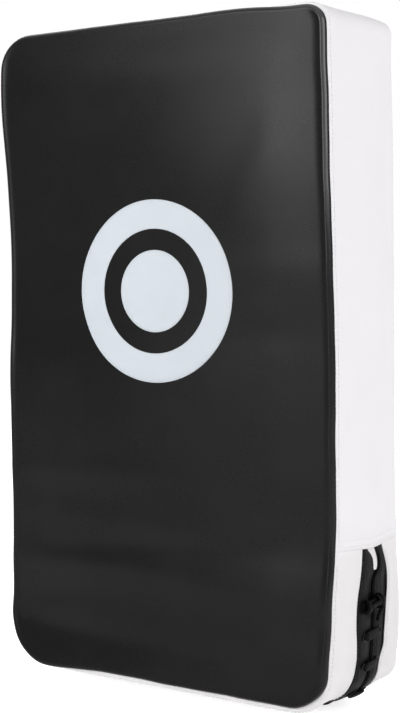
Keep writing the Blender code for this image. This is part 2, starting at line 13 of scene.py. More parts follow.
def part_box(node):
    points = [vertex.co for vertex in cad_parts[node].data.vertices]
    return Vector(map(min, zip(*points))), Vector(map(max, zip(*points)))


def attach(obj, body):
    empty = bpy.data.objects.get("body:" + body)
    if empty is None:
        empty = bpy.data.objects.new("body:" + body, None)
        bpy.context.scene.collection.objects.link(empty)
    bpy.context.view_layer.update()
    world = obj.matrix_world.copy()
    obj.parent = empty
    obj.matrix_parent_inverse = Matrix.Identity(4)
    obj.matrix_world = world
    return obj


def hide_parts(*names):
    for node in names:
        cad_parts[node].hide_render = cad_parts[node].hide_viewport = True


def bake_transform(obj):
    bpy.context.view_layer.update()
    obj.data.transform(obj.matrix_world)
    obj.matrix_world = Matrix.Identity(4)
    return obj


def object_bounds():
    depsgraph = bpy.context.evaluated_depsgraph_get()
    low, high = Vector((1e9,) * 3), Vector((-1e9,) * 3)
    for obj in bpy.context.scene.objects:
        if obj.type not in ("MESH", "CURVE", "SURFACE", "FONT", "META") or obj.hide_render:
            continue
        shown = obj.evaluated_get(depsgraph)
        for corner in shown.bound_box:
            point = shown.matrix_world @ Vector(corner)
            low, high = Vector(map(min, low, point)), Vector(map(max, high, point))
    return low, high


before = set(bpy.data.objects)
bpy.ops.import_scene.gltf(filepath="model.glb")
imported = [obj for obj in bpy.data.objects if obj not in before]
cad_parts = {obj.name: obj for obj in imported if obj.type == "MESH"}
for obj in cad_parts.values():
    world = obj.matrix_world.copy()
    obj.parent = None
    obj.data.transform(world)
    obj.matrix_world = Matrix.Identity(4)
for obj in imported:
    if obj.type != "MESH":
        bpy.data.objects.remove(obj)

cadLow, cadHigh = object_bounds()
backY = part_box("back_cover")[1].y

pad = {
    "width": 0.3518,
    "height": 0.5999,
    "depth": 0.1366,
    # radius of each corner at the strike face and at the back
    "cornerRadii": {"bottomRight": (0.036, 0.0162), "topRight": (0.0187, 0.015),
                    "topLeft": (0.031, 0.018), "bottomLeft": (0.050, 0.018)},
    "leastRadius": 0.0050,      # what an inset leaves of a corner's radius
    "roll": 0.0039,             # radius of the rolled front edge
    "rearRoll": 0.0135,         # radius of the rounded rear edge
    "taper": 0.0029,            # the sides lie this far inside the rolled edge
    "lean": 0.0018,             # and lean in by this at the foot of their rear edge
    "footSwell": 0.0030,        # above that the rear foam swells the right side
    "topRise": 0.0022,          # the top stands this much higher towards the back
    "rearShift": 0.0040,        # the rear side edges lie this far back low down, and forward at the top
    "seamDepth": 0.0043,        # where the strike leather meets the white
    "seamGroove": 0.0018,       # how deep both turn into the seam
    "bottomLift": 0.0056,       # the strike leather stops this far above the ground
    "bottomSag": 0.0036,        # but hangs lower by this beside its lower left corner
    "topDroop": 0.0030,         # and its upper right corner lies lower by this
    "bellyRise": 0.0060,        # the white rises out of the seam over this depth
    "leather": 0.0012,          # thickness of the covers
}
faceY = backY - pad["depth"]
padMiddle = Vector((0, faceY + pad["depth"] / 2, pad["height"] / 2))

# How far the face stands forward along its left and right edges, as (height, reach)
leftCurve = [(0.0, 0.0152), (0.018, 0.0100), (0.036, 0.0032), (0.056, 0.0004), (0.100, -0.0004),
             (0.129, -0.0010), (0.158, -0.0005), (0.216, 0.0011), (0.245, 0.0022), (0.289, 0.0024),
             (0.318, 0.0005), (0.347, 0.0), (0.376, 0.0), (0.406, 0.0005), (0.435, 0.0024), (0.464, 0.0053),
             (0.493, 0.0090), (0.523, 0.0125), (0.552, 0.0142), (0.581, 0.0134), (0.6007, 0.0122)]
rightCurve = [(0.0, 0.0188), (0.030, 0.0168), (0.047, 0.0148), (0.060, 0.0124), (0.0725, 0.0103),
              (0.098, 0.0080), (0.110, 0.0064), (0.136, 0.0020), (0.161, 0.0008), (0.190, 0.0005),
              (0.236, 0.0), (0.300, 0.0), (0.324, 0.0005), (0.349, 0.0022), (0.374, 0.0039), (0.399, 0.0048),
              (0.424, 0.0062), (0.449, 0.0077), (0.474, 0.0087), (0.500, 0.0092), (0.525, 0.0100),
              (0.550, 0.0116), (0.6007, 0.0135)]


# Numbers along lines
def softStep(value):
    value = np.clip(value, 0.0, 1.0)
    return value * value * (3 - 2 * value)


def bump(value, middle, spread):
    return np.exp(-((value - middle) / spread) ** 2)


def smoothLine(points, at):   # a smooth line through a few (place, value) points
    knots, values = np.array(points, float).T
    slopes = np.gradient(values, knots)
    at = np.clip(at, knots[0], knots[-1])
    left = np.clip(np.searchsorted(knots, at, side="right") - 1, 0, len(knots) - 2)
    span = knots[left + 1] - knots[left]
    t = (at - knots[left]) / span
    start = (1 + 2 * t) * (1 - t) ** 2 * values[left] + t * (1 - t) ** 2 * span * slopes[left]
    end = t * t * (3 - 2 * t) * values[left + 1] + t * t * (t - 1) * span * slopes[left + 1]
    return start + end


def ripples(first, second, wavelength, seed, count=9):   # soft unevenness from -1 to 1
    chance = np.random.default_rng(seed)
    total = 0.0
    for _ in range(count):
        turn, phase = chance.uniform(0, 2 * pi, 2)
        pace = 2 * pi / (wavelength * chance.uniform(0.7, 1.6))
        total = total + np.sin(pace * (cos(turn) * first + sin(turn) * second) + phase)
    return total / (0.6 * count)


# The pad's outline and the place of every point on it
def makeOutline():
    half, high, radii = pad["width"] / 2, pad["height"], pad["cornerRadii"]
    corners = [("bottomRight", 1, -1), ("topRight", 1, 1), ("topLeft", -1, 1), ("bottomLeft", -1, -1)]
    points = [(0.0, 0.0, 0.0, -1.0)]
    middles = []
    for turnStart, (name, handX, handZ) in enumerate(corners):
        radius = radii[name][0]
        centreX = handX * (half - radius)
        centreZ = high - radius if handZ > 0 else radius
        for turn in np.linspace((turnStart - 1) * pi / 2, turnStart * pi / 2, 41):
            points.append((centreX + radius * cos(turn), centreZ + radius * sin(turn), cos(turn), sin(turn)))
        middles.append(len(points) - 21)
    points.append(points[0])
    x, z, outX, outZ = np.array(points).T
    at = np.concatenate([[0.0], np.cumsum(np.hypot(np.diff(x), np.diff(z)))])
    return {"at": at, "x": x, "z": z, "outX": outX, "outZ": outZ, "length": at[-1],
            "cornerMiddles": [at[index] for index in middles]}


outline = makeOutline()


def outlineAt(along):
    wrapped = np.mod(along, outline["length"])
    return [np.interp(wrapped, outline["at"], outline[key]) for key in ("x", "z", "outX", "outZ")]


def sideAlong(height, hand):   # where a height lies along the outline, on the right (1) or the left (-1)
    radius = pad["cornerRadii"]["bottomRight" if hand > 0 else "bottomLeft"][0]
    return hand * (pad["width"] / 2 - radius + radius * pi / 2 + height - radius)


def inPad(x, depth, z):
    x, depth, z = np.broadcast_arrays(x, depth, z)
    across = np.clip(x / pad["width"] + 0.5, 0, 1)
    forward = (1 - across) * smoothLine(leftCurve, z) + across * smoothLine(rightCurve, z)
    share = np.clip(depth / pad["depth"], 0, 1)
    nearSide = softStep((np.abs(x) - 0.12) / 0.05)
    settled = pad["rearShift"] * nearSide * (bump(z, 0.09, 0.06) - softStep((z - 0.47) / 0.12))
    y = faceY + depth - (1 - share) * forward + share ** 2 * settled
    return np.stack([x, y, z], axis=-1)


def cornerRadius(x, outZ, end):   # of the nearest corner, at the strike face (0) or at the back (1)
    radii = {name: pair[end] for name, pair in pad["cornerRadii"].items()}
    low, high = [np.where(x > 0, radii[level + "Right"], radii[level + "Left"])
                 for level in ("bottom", "top")]
    return np.where(outZ < 0, low, high)


def cornerReach(side, radius, outX, outZ):   # from the corner's centre to a corner of another radius
    radius = np.minimum(np.maximum(radius, pad["leastRadius"]), side)
    spare = side - radius
    wide = np.maximum(np.abs(outX), np.abs(outZ))
    narrow = np.minimum(np.abs(outX), np.abs(outZ))
    onCorner = spare * (wide + narrow) + np.sqrt(np.maximum(radius ** 2 - (spare * (wide - narrow)) ** 2, 0))
    return np.where(side * narrow < spare * wide, side / wide, onCorner)


# A point of the pad's side. Its corners are sharper towards the back, where its top stands higher
def onPad(along, depth, inset):
    x, z, outX, outZ = outlineAt(along)
    back = softStep((depth - 0.008) / 0.105)
    lean = pad["lean"] * softStep((0.034 - z) / 0.026) - pad["footSwell"] * bump(z, 0.060, 0.038) * (x > 0)
    lean = lean * softStep((depth - 0.09) / 0.03)
    taper = pad["taper"] * softStep((depth - 0.006) / 0.044)
    inset = inset + (taper + lean) * outX ** 2 - pad["topRise"] * np.maximum(outZ, 0) * back
    front, rear = cornerRadius(x, outZ, 0), cornerRadius(x, outZ, 1)
    shift = cornerReach(front - inset, front + (rear - front) * back - inset, outX, outZ) - front
    return inPad(x + shift * outX, depth, z + shift * outZ)


def outwardAt(along):
    outX, outZ = outlineAt(along)[2:]
    return np.stack([outX, 0 * outX, outZ], axis=-1)


def heightAt(along):
    return outlineAt(along)[1]


def strikeTuck(along):   # how far the strike leather stays inside the outline
    x, _, _, outZ = outlineAt(along)
    sag = pad["bottomSag"] * bump(x, -0.118, 0.035) * softStep(-outZ)
    droop = pad["topDroop"] * softStep((x - 0.085) / 0.07) * softStep(outZ)
    return pad["bottomLift"] * softStep(-outZ) - sag + droop


# Objects
def link(name, data):
    made = bpy.data.objects.new(name, data)
    bpy.context.scene.collection.objects.link(made)
    return made


def newPiece(name, corners, faces, finish):
    data = bpy.data.meshes.new(name)
    data.from_pydata([tuple(corner) for corner in corners], [], faces)
    data.materials.append(finish)
    data.shade_smooth()
    return link(name, data)


def turnOutward(piece, middle=None):   # faces away from a middle point, or from the piece's own inside
    shape = bmesh.new()
    shape.from_mesh(piece.data)
    bmesh.ops.recalc_face_normals(shape, faces=shape.faces[:])
    if middle is not None:
        lean = sum((face.calc_center_median() - middle).dot(face.normal) * face.calc_area()
                   for face in shape.faces)
        if lean < 0:
            bmesh.ops.reverse_faces(shape, faces=shape.faces[:])
    shape.to_mesh(piece.data)
    shape.free()
    return piece


def gridFaces(rows, columns, closed=False):
    faces = []
    for row in range(rows - 1):
        low, high = row * columns, (row + 1) * columns
        for column in range(columns if closed else columns - 1):
            following = (column + 1) % columns
            faces.append((low + column, high + column, high + following, low + following))
    return faces


def gridPiece(name, points, finish, closed=False):   # points as rows x columns x 3
    rows, columns = points.shape[:2]
    return newPiece(name, points.reshape(-1, 3), gridFaces(rows, columns, closed), finish)


def closeEnds(piece, columns, ends=2, sharp=None):   # a face over the first row of points, and over the last
    shape = bmesh.new()
    shape.from_mesh(piece.data)
    shape.verts.ensure_lookup_table()
    for first in (0, len(shape.verts) - columns)[:ends]:
        shape.faces.new(shape.verts[first:first + columns])
    bmesh.ops.recalc_face_normals(shape, faces=shape.faces[:])
    shape.to_mesh(piece.data)
    shape.free()
    if sharp:
        piece.data.shade_smooth()
        piece.data.set_sharp_from_angle(angle=radians(sharp))
    return piece


def addModifier(piece, kind, name, **settings):
    modifier = piece.modifiers.new(name, kind)
    for key, value in settings.items():
        setattr(modifier, key, value)
    return modifier


def thicken(piece, thickness, smooth=True):   # a wall on the inner side, after one smoothing
    if smooth:
        addModifier(piece, "SUBSURF", "smooth", levels=1, render_levels=1)
    addModifier(piece, "SOLIDIFY", "wall", thickness=thickness, offset=-1, use_even_offset=False)


def settle(piece, body, node=None):
    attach(piece, body)
    if node:
        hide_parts(node)
    return piece


def pointsOf(data):
    flat = np.zeros(len(data.vertices) * 3)
    data.vertices.foreach_get("co", flat)
    return flat.reshape(-1, 3)


def puff(piece, freedom, pressure, most, tension=40.0):   # the cover swells where its freedom is above 0
    rest = pointsOf(piece.data)
    group = piece.vertex_groups.new(name="sewn")
    group.add([int(index) for index in np.flatnonzero(freedom <= 0)], 1.0, "REPLACE")
    cloth = addModifier(piece, "CLOTH", "puff")
    behaviour = {"quality": 5, "mass": 0.3, "tension_stiffness": tension, "compression_stiffness": tension,
                 "bending_stiffness": 2.0, "vertex_group_mass": "sewn", "use_pressure": True,
                 "uniform_pressure_force": pressure}
    for key, value in behaviour.items():
        setattr(cloth.settings, key, value)
    cloth.settings.effector_weights.gravity = 0.0
    cloth.collision_settings.use_collision = False
    scene = bpy.context.scene
    for number in range(1, 21):
        scene.frame_set(number)
    graph = bpy.context.evaluated_depsgraph_get()
    shift = pointsOf(piece.evaluated_get(graph).data) - rest
    reach = np.linalg.norm(shift, axis=1, keepdims=True)
    capped = shift / np.maximum(reach, 1e-9) * most * np.tanh(reach / most) * freedom[:, None]
    piece.modifiers.remove(cloth)
    piece.vertex_groups.clear()
    scene.frame_set(1)
    piece.data.vertices.foreach_set("co", (rest + capped).ravel())
    piece.data.update()
    print("puffed", piece.name, "by up to", round(float(reach.max()) * 1000, 1), "mm before the cap")


# Finishes
def put(tree, kind, settings=None, inputs=None):
    made = tree.nodes.new(kind)
    for name, value in (settings or {}).items():
        setattr(made, name, value)
    for name, value in (inputs or {}).items():
        if isinstance(value, Wire):
            value = value.socket
        elif isinstance(value, bpy.types.Node):
            value = value.outputs[0]
        if isinstance(value, bpy.types.NodeSocket):
            tree.links.new(value, made.inputs[name])
        else:
            made.inputs[name].default_value = value
    return made


class Wire:   # a shader socket that takes part in sums
    def __init__(self, finish, socket):
        self.finish, self.socket = finish, socket

    def math(self, operation, *values):
        return self.finish.node("ShaderNodeMath", {"operation": operation}, dict(enumerate(values)))

    def __add__(self, other):
        return self.math("ADD", self, other)

    def __sub__(self, other):
        return self.math("SUBTRACT", self, other)

    def __rsub__(self, other):
        return self.math("SUBTRACT", other, self)

    def __mul__(self, other):
        return self.math("MULTIPLY", self, other)

    __radd__, __rmul__ = __add__, __mul__

    def sine(self):
        return self.math("SINE", self)

    def above(self, low, high):   # 0 below low, 1 above high
        return self.finish.node("ShaderNodeMapRange", {"interpolation_type": "SMOOTHSTEP"},
                                {"Value": self, "From Min": low, "From Max": high})


class Finish:   # one material, its Principled shader and its nodes
    def __init__(self, name, gloss=0.5):
        self.material = bpy.data.materials.new(name)
        self.material.use_nodes = True
        self.tree = self.material.node_tree
        self.shader = self.tree.nodes["Principled BSDF"]
        self.shader.inputs["Specular IOR Level"].default_value = gloss
        self.place = self.node("ShaderNodeTexCoord", output="Object")
        self.flat = self.node("ShaderNodeTexCoord", output="UV")

    def node(self, kind, settings=None, inputs=None, output=0):
        return Wire(self, put(self.tree, kind, settings, inputs).outputs[output])

    def noise(self, scale, detail=2.0, roughness=0.5, place=None):
        return self.node("ShaderNodeTexNoise", None, {"Vector": place or self.place, "Scale": scale,
                                                      "Detail": detail, "Roughness": roughness})

    def cells(self, scale, feature="F1"):
        return self.node("ShaderNodeTexVoronoi", {"feature": feature}, {"Vector": self.place, "Scale": scale})

    def pores(self):
        return self.cells(leather["poreScale"], "SMOOTH_F1")

    def mixed(self, factor, first, second):
        return self.node("ShaderNodeMix", {"data_type": "RGBA"}, {0: factor, 6: first, 7: second}, output=2)

    def axis(self, name, place=None):
        return self.node("ShaderNodeSeparateXYZ", None, {0: place or self.place}, output=name)

    def bumped(self, height, distance, strength=1.0, under=None):
        inputs = {"Height": height, "Distance": distance, "Strength": strength}
        if under is not None:
            inputs["Normal"] = under
        return self.node("ShaderNodeBump", None, inputs)

    def feed(self, **sockets):   # BaseColor=..., Roughness=..., Normal=...
        for name, value in sockets.items():
            name = {"BaseColor": "Base Color", "CoatWeight": "Coat Weight"}.get(name, name)
            self.tree.links.new(value.socket, self.shader.inputs[name])
        return self.material


def tint(red, green=None, blue=None):   # a colour, or a grey where only one level is given
    return red, red if green is None else green, red if blue is None else blue, 1.0


leather = {
    "black": tint(0.0010, 0.0010, 0.0011),
    "blackWorn": tint(0.0032),
    # a lighter grey painted on the stretched edges at both sides of the face: a painted highlight
    "paintedEdgeHighlight": tint(0.034, 0.034, 0.035),
    "white": tint(0.873, 0.855, 0.879),
    "whiteDull": tint(0.792, 0.770, 0.774),
    "poreScale": 900.0,         # pores for each metre
    "creaseScale": 160.0,
    # between these heights the white changes to the duller roll of the two legs, where it's low
    "lowBand": (0.125, 0.140),
    # between these places across the face a highlight is painted on its stretched edge
    "paintedHighlightBand": (0.12, 0.165),
}


# shine: the coat of the stretched leather at the rolled edges, which also brings a painted highlight on them;
# low: how dull the leather is below the lap
def makeLeather(name, fresh, dull, roughness, grain, gloss, shine=0.0, low=0.0):
    finish = Finish(name, gloss)
    pores = finish.pores()
    creases = finish.cells(leather["creaseScale"], "DISTANCE_TO_EDGE")
    patches = finish.noise(14.0, 4.0)
    fine = finish.noise(420.0, 3.0)
    dullShare = patches.above(0.45, 0.75)
    foot = 1 - finish.axis("Z").above(*leather["lowBand"])
    colour = finish.mixed(dullShare * (0.7 - low) + fine * 0.2 + foot * low, fresh, dull)
    if shine:   # the mesh says where the leather is stretched over an edge
        stretched = finish.node("ShaderNodeAttribute", {"attribute_name": "stretched"}, output="Fac")
        finish.shader.inputs["Coat Roughness"].default_value = 0.16
        finish.feed(CoatWeight=stretched * shine)
        # painted highlight: a lighter colour on the most stretched rings near both sides of the face
        paintedEdgeHighlight = stretched.above(0.6, 1.0) * finish.axis("X").above(*leather["paintedHighlightBand"])
        colour = finish.mixed(paintedEdgeHighlight, colour, leather["paintedEdgeHighlight"])
    height = pores * 0.7 + fine * 0.3 + creases.above(0.0, 0.12) * 0.15
    rough = patches * 0.10 + fine * 0.06 + (roughness - 0.08)
    return finish.feed(BaseColor=colour, Roughness=rough, Normal=finish.bumped(height, grain, 0.5))


def makePrintFilm(name, fresh, dull):
    finish = Finish(name, 0.12)
    patches = finish.noise(22.0, 3.0)
    return finish.feed(BaseColor=finish.mixed(patches.above(0.35, 0.8), fresh, dull),
                       Roughness=patches * 0.12 + 0.48, Normal=finish.bumped(finish.pores(), 0.00004, 0.4))


def makeCord(name, colour, pale, braids):   # a braid that follows the cord's own map
    finish = Finish(name, 0.04)
    along = finish.axis("X", finish.flat)
    across = finish.axis("Y", finish.flat)
    first, second = [((along * braids + across * lead) * (2 * pi)).sine() for lead in (3.0, -3.0)]
    strands = first.math("MAXIMUM", first, second)
    fuzz = finish.noise(1500.0, 2.0)
    return finish.feed(BaseColor=finish.mixed(strands * 0.35 + fuzz * 0.3, colour, pale),
                       Roughness=fuzz * 0.15 + 0.55, Normal=finish.bumped(strands + fuzz * 0.4, 0.0003, 0.8))


def makeFoam(name, colour, dark, cellScale):
    finish = Finish(name, 0.2)
    cells = finish.cells(cellScale)
    blotches = finish.noise(30.0, 3.0)
    return finish.feed(BaseColor=finish.mixed(cells * 0.6 + blotches * 0.3, colour, dark),
                       Roughness=blotches * 0.1 + 0.85, Normal=finish.bumped(cells, 0.0006, 0.8))


def makeCreasedWithPaintedSheen(name, fresh, dull, roughness, gloss):   # gathered leather, creased along its length, with sheen painted on as a lighter colour along the creases
    finish = Finish(name, gloss)
    drawn = finish.node("ShaderNodeVectorMath", {"operation": "MULTIPLY"},
                        {0: finish.place, 1: (55, 420, 55)})
    creases = finish.noise(1.0, 3.0, 0.6, drawn)
    patches = finish.noise(45.0, 3.0)
    # share of the lighter colour: painted sheen along the creases, and random lighter patches
    dullShare = creases.above(0.50, 0.80) * 0.8 + patches.above(0.55, 0.8) * 0.4
    folded = finish.bumped(creases, 0.0011, 0.7)
    return finish.feed(BaseColor=finish.mixed(dullShare, fresh, dull),
                       Roughness=patches * 0.15 + (roughness - 0.08),
                       Normal=finish.bumped(finish.pores(), 0.00008, 0.4, folded))


def makeTape(name, colour, pale, scale):   # loop and hook tape
    finish = Finish(name, 0.25)
    tufts = finish.cells(scale)
    fuzz = finish.noise(900.0, 4.0)
    return finish.feed(BaseColor=finish.mixed(tufts * 0.5 + fuzz * 0.3, colour, pale),
                       Roughness=fuzz * 0.1 + 0.85, Normal=finish.bumped(tufts + fuzz, 0.0008, 0.9))


def makeThread(name, colour, dark):
    finish = Finish(name, 0.3)
    twist = ((finish.axis("X") + finish.axis("Y") + finish.axis("Z")) * 9000.0).sine()
    return finish.feed(BaseColor=finish.mixed(twist * 0.3 + 0.3, colour, dark), Roughness=twist * 0.05 + 0.6)


def makeEnamel(name, colour, chipped):   # black enamel on the eyelet rims, worn at places
    finish = Finish(name, 0.06)
    marks = finish.noise(260.0, 3.0)
    return finish.feed(BaseColor=finish.mixed(marks.above(0.5, 0.9), colour, chipped),
                       Roughness=marks * 0.2 + 0.22)


finishes = {
    "strike": makeLeather("strikeLeather", leather["black"], leather["blackWorn"],
                          roughness=0.28, grain=0.00006, gloss=0.103, shine=0.55),
    "gusset": makeLeather("gussetLeather", leather["white"], leather["whiteDull"],
                          roughness=0.50, grain=0.00005, gloss=0.30, low=0.6),
    # the second, lighter colour of the closure is painted sheen along its creases
    "closure": makeCreasedWithPaintedSheen("closureLeatherPaintedSheen", tint(0.0016, 0.0016, 0.0017), tint(0.0110, 0.0110, 0.0108),
                           roughness=0.45, gloss=0.030),
    "back": makeLeather("backLeather", tint(0.008, 0.008, 0.0085), tint(0.017, 0.017, 0.018),
                        roughness=0.42, grain=0.00016, gloss=0.30),
    "film": makePrintFilm("targetPrint", tint(0.468, 0.499, 0.533), tint(0.453, 0.484, 0.518)),
    "lace": makeCord("laceBraid", tint(0.003), tint(0.012), braids=330.0),
    "sheetFoam": makeFoam("denseFoam", tint(0.34, 0.34, 0.35), tint(0.20, 0.20, 0.21), cellScale=900.0),
    "coreFoam": makeFoam("softFoam", tint(0.62, 0.58, 0.46), tint(0.48, 0.44, 0.34), cellScale=500.0),
    "loop": makeTape("loopPile", tint(0.012), tint(0.040), scale=700.0),
    "hook": makeTape("hookPile", tint(0.014), tint(0.035), scale=1100.0),
    "whiteThread": makeThread("whiteThread", tint(0.88, 0.88, 0.90), tint(0.80, 0.80, 0.82)),
    "blackThread": makeThread("blackThread", tint(0.020, 0.020, 0.021), tint(0.008)),
    "rim": makeEnamel("eyeletEnamel", tint(0.003), tint(0.014, 0.014, 0.0145)),
}
print("finishes made:", len(finishes))


# Strike cover
frontPanel = {
    "acrossCells": 58,
    "upCells": 98,
    # a bead runs along both sides of the face: its rise, and its share at distances from the edge
    "beadRise": 0.0010,
    "bead": [(0.0049, 0.86), (0.0059, 0.62), (0.0070, 0.36), (0.0084, 0.16), (0.0099, 0.05), (0.0115, 0.0)],
    # rings that turn into the seam: how far out of it, and share of the groove
    "seamTurn": ((0.0, 1.0), (0.0003, 0.6), (0.0008, 0.15)),
    # share of the full stretch on each ring of the roll
    "stretch": (0.0, 0.1, 0.6, 1.0, 1.0, 1.0, 0.8, 0.2),
    "unevenness": 0.0009,
    "puff": 0.0010,
    # soft folds of the strike face: x, height, half length, half width, rise, tilt in degrees
    "folds": [(-0.070, 0.188, 0.110, 0.011, 0.0007, 2), (0.010, 0.140, 0.150, 0.012, 0.0008, -2),
              (-0.085, 0.104, 0.080, 0.010, 0.0007, 3), (0.060, 0.096, 0.090, 0.012, 0.0006, -4),
              (0.090, 0.330, 0.060, 0.016, 0.0005, 24), (0.110, 0.470, 0.050, 0.016, 0.0005, 60)],
    "cornerDrop": 0.0004,       # the face falls towards its upper right corner
    "cornerRadius": 0.033,      # of the plain outline that distances from its edge are measured on
}


def ringStations(acrossCells, upCells):   # round the outline, from the middle of the lower left corner
    right, topRight, topLeft, left = outline["cornerMiddles"]
    ends = [(left - outline["length"], right, acrossCells), (right, topRight, upCells),
            (topRight, topLeft, acrossCells), (topLeft, left, upCells)]
    return np.concatenate([np.linspace(start, end, cells + 1)[:-1] for start, end, cells in ends])


def ringSides(ring, acrossCells, upCells):   # the low, right, high and left side of a ring of stations
    closed = np.concatenate([ring, ring[:1]])
    top = acrossCells + upCells
    return (closed[:acrossCells + 1], closed[acrossCells:top + 1],
            closed[top:top + acrossCells + 1][::-1], closed[top + acrossCells:][::-1])


def fillRing(x, z, cells):   # a fair grid of (x, z) inside a ring of stations
    low, right, high, left = ringSides(np.stack([x, z], axis=-1), *cells)
    u = np.linspace(0, 1, cells[0] + 1)[None, :, None]
    v = np.linspace(0, 1, cells[1] + 1)[:, None, None]
    level = (1 - v) * low[None] + v * high[None] + (1 - u) * left[:, None] + u * right[:, None]
    corners = (1 - u) * (1 - v) * low[0] + u * (1 - v) * low[-1] + (1 - u) * v * high[0] + u * v * high[-1]
    return level - corners


def edgeDistance(x, z):   # how far inside the outline a point of the face lies
    radius = frontPanel["cornerRadius"]
    overX = np.abs(x) - (pad["width"] / 2 - radius)
    overZ = np.abs(z - pad["height"] / 2) - (pad["height"] / 2 - radius)
    outside = np.hypot(np.maximum(overX, 0), np.maximum(overZ, 0))
    return radius - outside - np.minimum(np.maximum(overX, overZ), 0)


def faceRelief(x, z):   # how far the strike leather stands forward of the plain face
    middle = softStep((edgeDistance(x, z) - 0.010) / 0.03)
    relief = middle * frontPanel["unevenness"] * ripples(x, z, 0.16, 11)
    for foldX, foldZ, halfLength, halfWidth, rise, tilt in frontPanel["folds"]:
        turn = radians(tilt)
        run = (x - foldX) * cos(turn) + (z - foldZ) * sin(turn)
        off = (z - foldZ) * cos(turn) - (x - foldX) * sin(turn)
        relief = relief + rise * bump(run, 0, halfLength) * bump(off, 0, halfWidth)
    fallen = softStep((x - 0.125) / 0.037) * (1 - softStep((x - 0.162) / 0.009)) * softStep((z - 0.40) / 0.14)
    return relief - frontPanel["cornerDrop"] * fallen


# A skin over rings of (depth, inset), closed by a grid at its last ring, and at its first if asked
def padSkin(name, rings, cells, finish, relief=None, rearCap=False):
    acrossCells, upCells = cells
    stations = ringStations(*cells)
    count = len(stations)
    loops = [onPad(stations, depth, inset) for depth, inset in rings]
    corners = list(loops)
    faces = gridFaces(len(loops), count, closed=True)
    for ring in (-1, 0) if rearCap else (-1,):
        total = sum(len(part) for part in corners)
        inner = fillRing(loops[ring][:, 0], loops[ring][:, 2], cells)[1:-1, 1:-1]
        corners.append(inPad(inner[..., 0], float(np.mean(rings[ring][0])), inner[..., 1]).reshape(-1, 3))
        ids = np.zeros((upCells + 1, acrossCells + 1), int)
        rim = (ring % len(rings)) * count + np.arange(count)
        ids[0], ids[:, -1], ids[-1], ids[:, 0] = ringSides(rim, *cells)
        ids[1:-1, 1:-1] = total + np.arange(len(corners[-1])).reshape(inner.shape[:2])
        quads = np.stack([ids[:-1, :-1], ids[:-1, 1:], ids[1:, 1:], ids[1:, :-1]], axis=-1)
        faces += quads.reshape(-1, 4).tolist()
    points = np.concatenate(corners)
    if relief:
        front = pad["depth"] * 0.1
        facing = softStep((front - (points[:, 1] - faceY)) / front)
        points[:, 1] -= facing * relief(points[:, 0], points[:, 2])
    return turnOutward(newPiece(name, points, faces, finish), padMiddle)


# Where the strike leather is stretched: not along the bottom, and most at the upper right. Its coat and the
# painted edge highlight follow this
def addStretch(cover, stations):
    x, z, _, outZ = outlineAt(stations)
    fade = 1 - softStep(-outZ / 0.7)
    fade = fade * (0.6 + 0.4 * softStep((x + 0.05) / 0.15)) * (0.3 + 0.7 * softStep((z - 0.34) / 0.12))
    stretched = np.zeros(len(cover.data.vertices))
    count = len(stations)
    for ring, share in enumerate(frontPanel["stretch"], len(frontPanel["seamTurn"])):
        stretched[ring * count:(ring + 1) * count] = share * fade
    layer = cover.data.attributes.new("stretched", "FLOAT", "POINT")
    layer.data.foreach_set("value", stretched)


def makeStrikeCover():
    roll, groove, seam = pad["roll"], pad["seamGroove"], pad["seamDepth"]
    cells = (frontPanel["acrossCells"], frontPanel["upCells"])
    stations = ringStations(*cells)
    tuck = strikeTuck(stations) + 0.0004 * ripples(stations, stations * 0, 0.05, 5)
    rise = frontPanel["beadRise"] * outlineAt(stations)[2] ** 2
    rings = [(seam - out, tuck + groove * share) for out, share in frontPanel["seamTurn"]]
    for turn in np.linspace(0, pi / 2, 8):
        rings.append((roll - (roll + rise) * sin(turn), tuck + roll * (1 - cos(turn))))
    rings += [(-rise * share, tuck + place) for place, share in frontPanel["bead"]]
    cover = padSkin("strike_cover", rings, cells, finishes["strike"], faceRelief)
    addStretch(cover, stations)
    freedom = np.zeros(len(cover.data.vertices))
    inner = pointsOf(cover.data)[len(rings) * len(stations):]
    freedom[len(rings) * len(stations):] = softStep((edgeDistance(inner[:, 0], inner[:, 2]) - 0.018) / 0.045)
    puff(cover, freedom, pressure=1.0, most=frontPanel["puff"])
    thicken(cover, pad["leather"])
    return settle(cover, "root", "front_cover")


strikeCover = makeStrikeCover()
print("strike cover made")


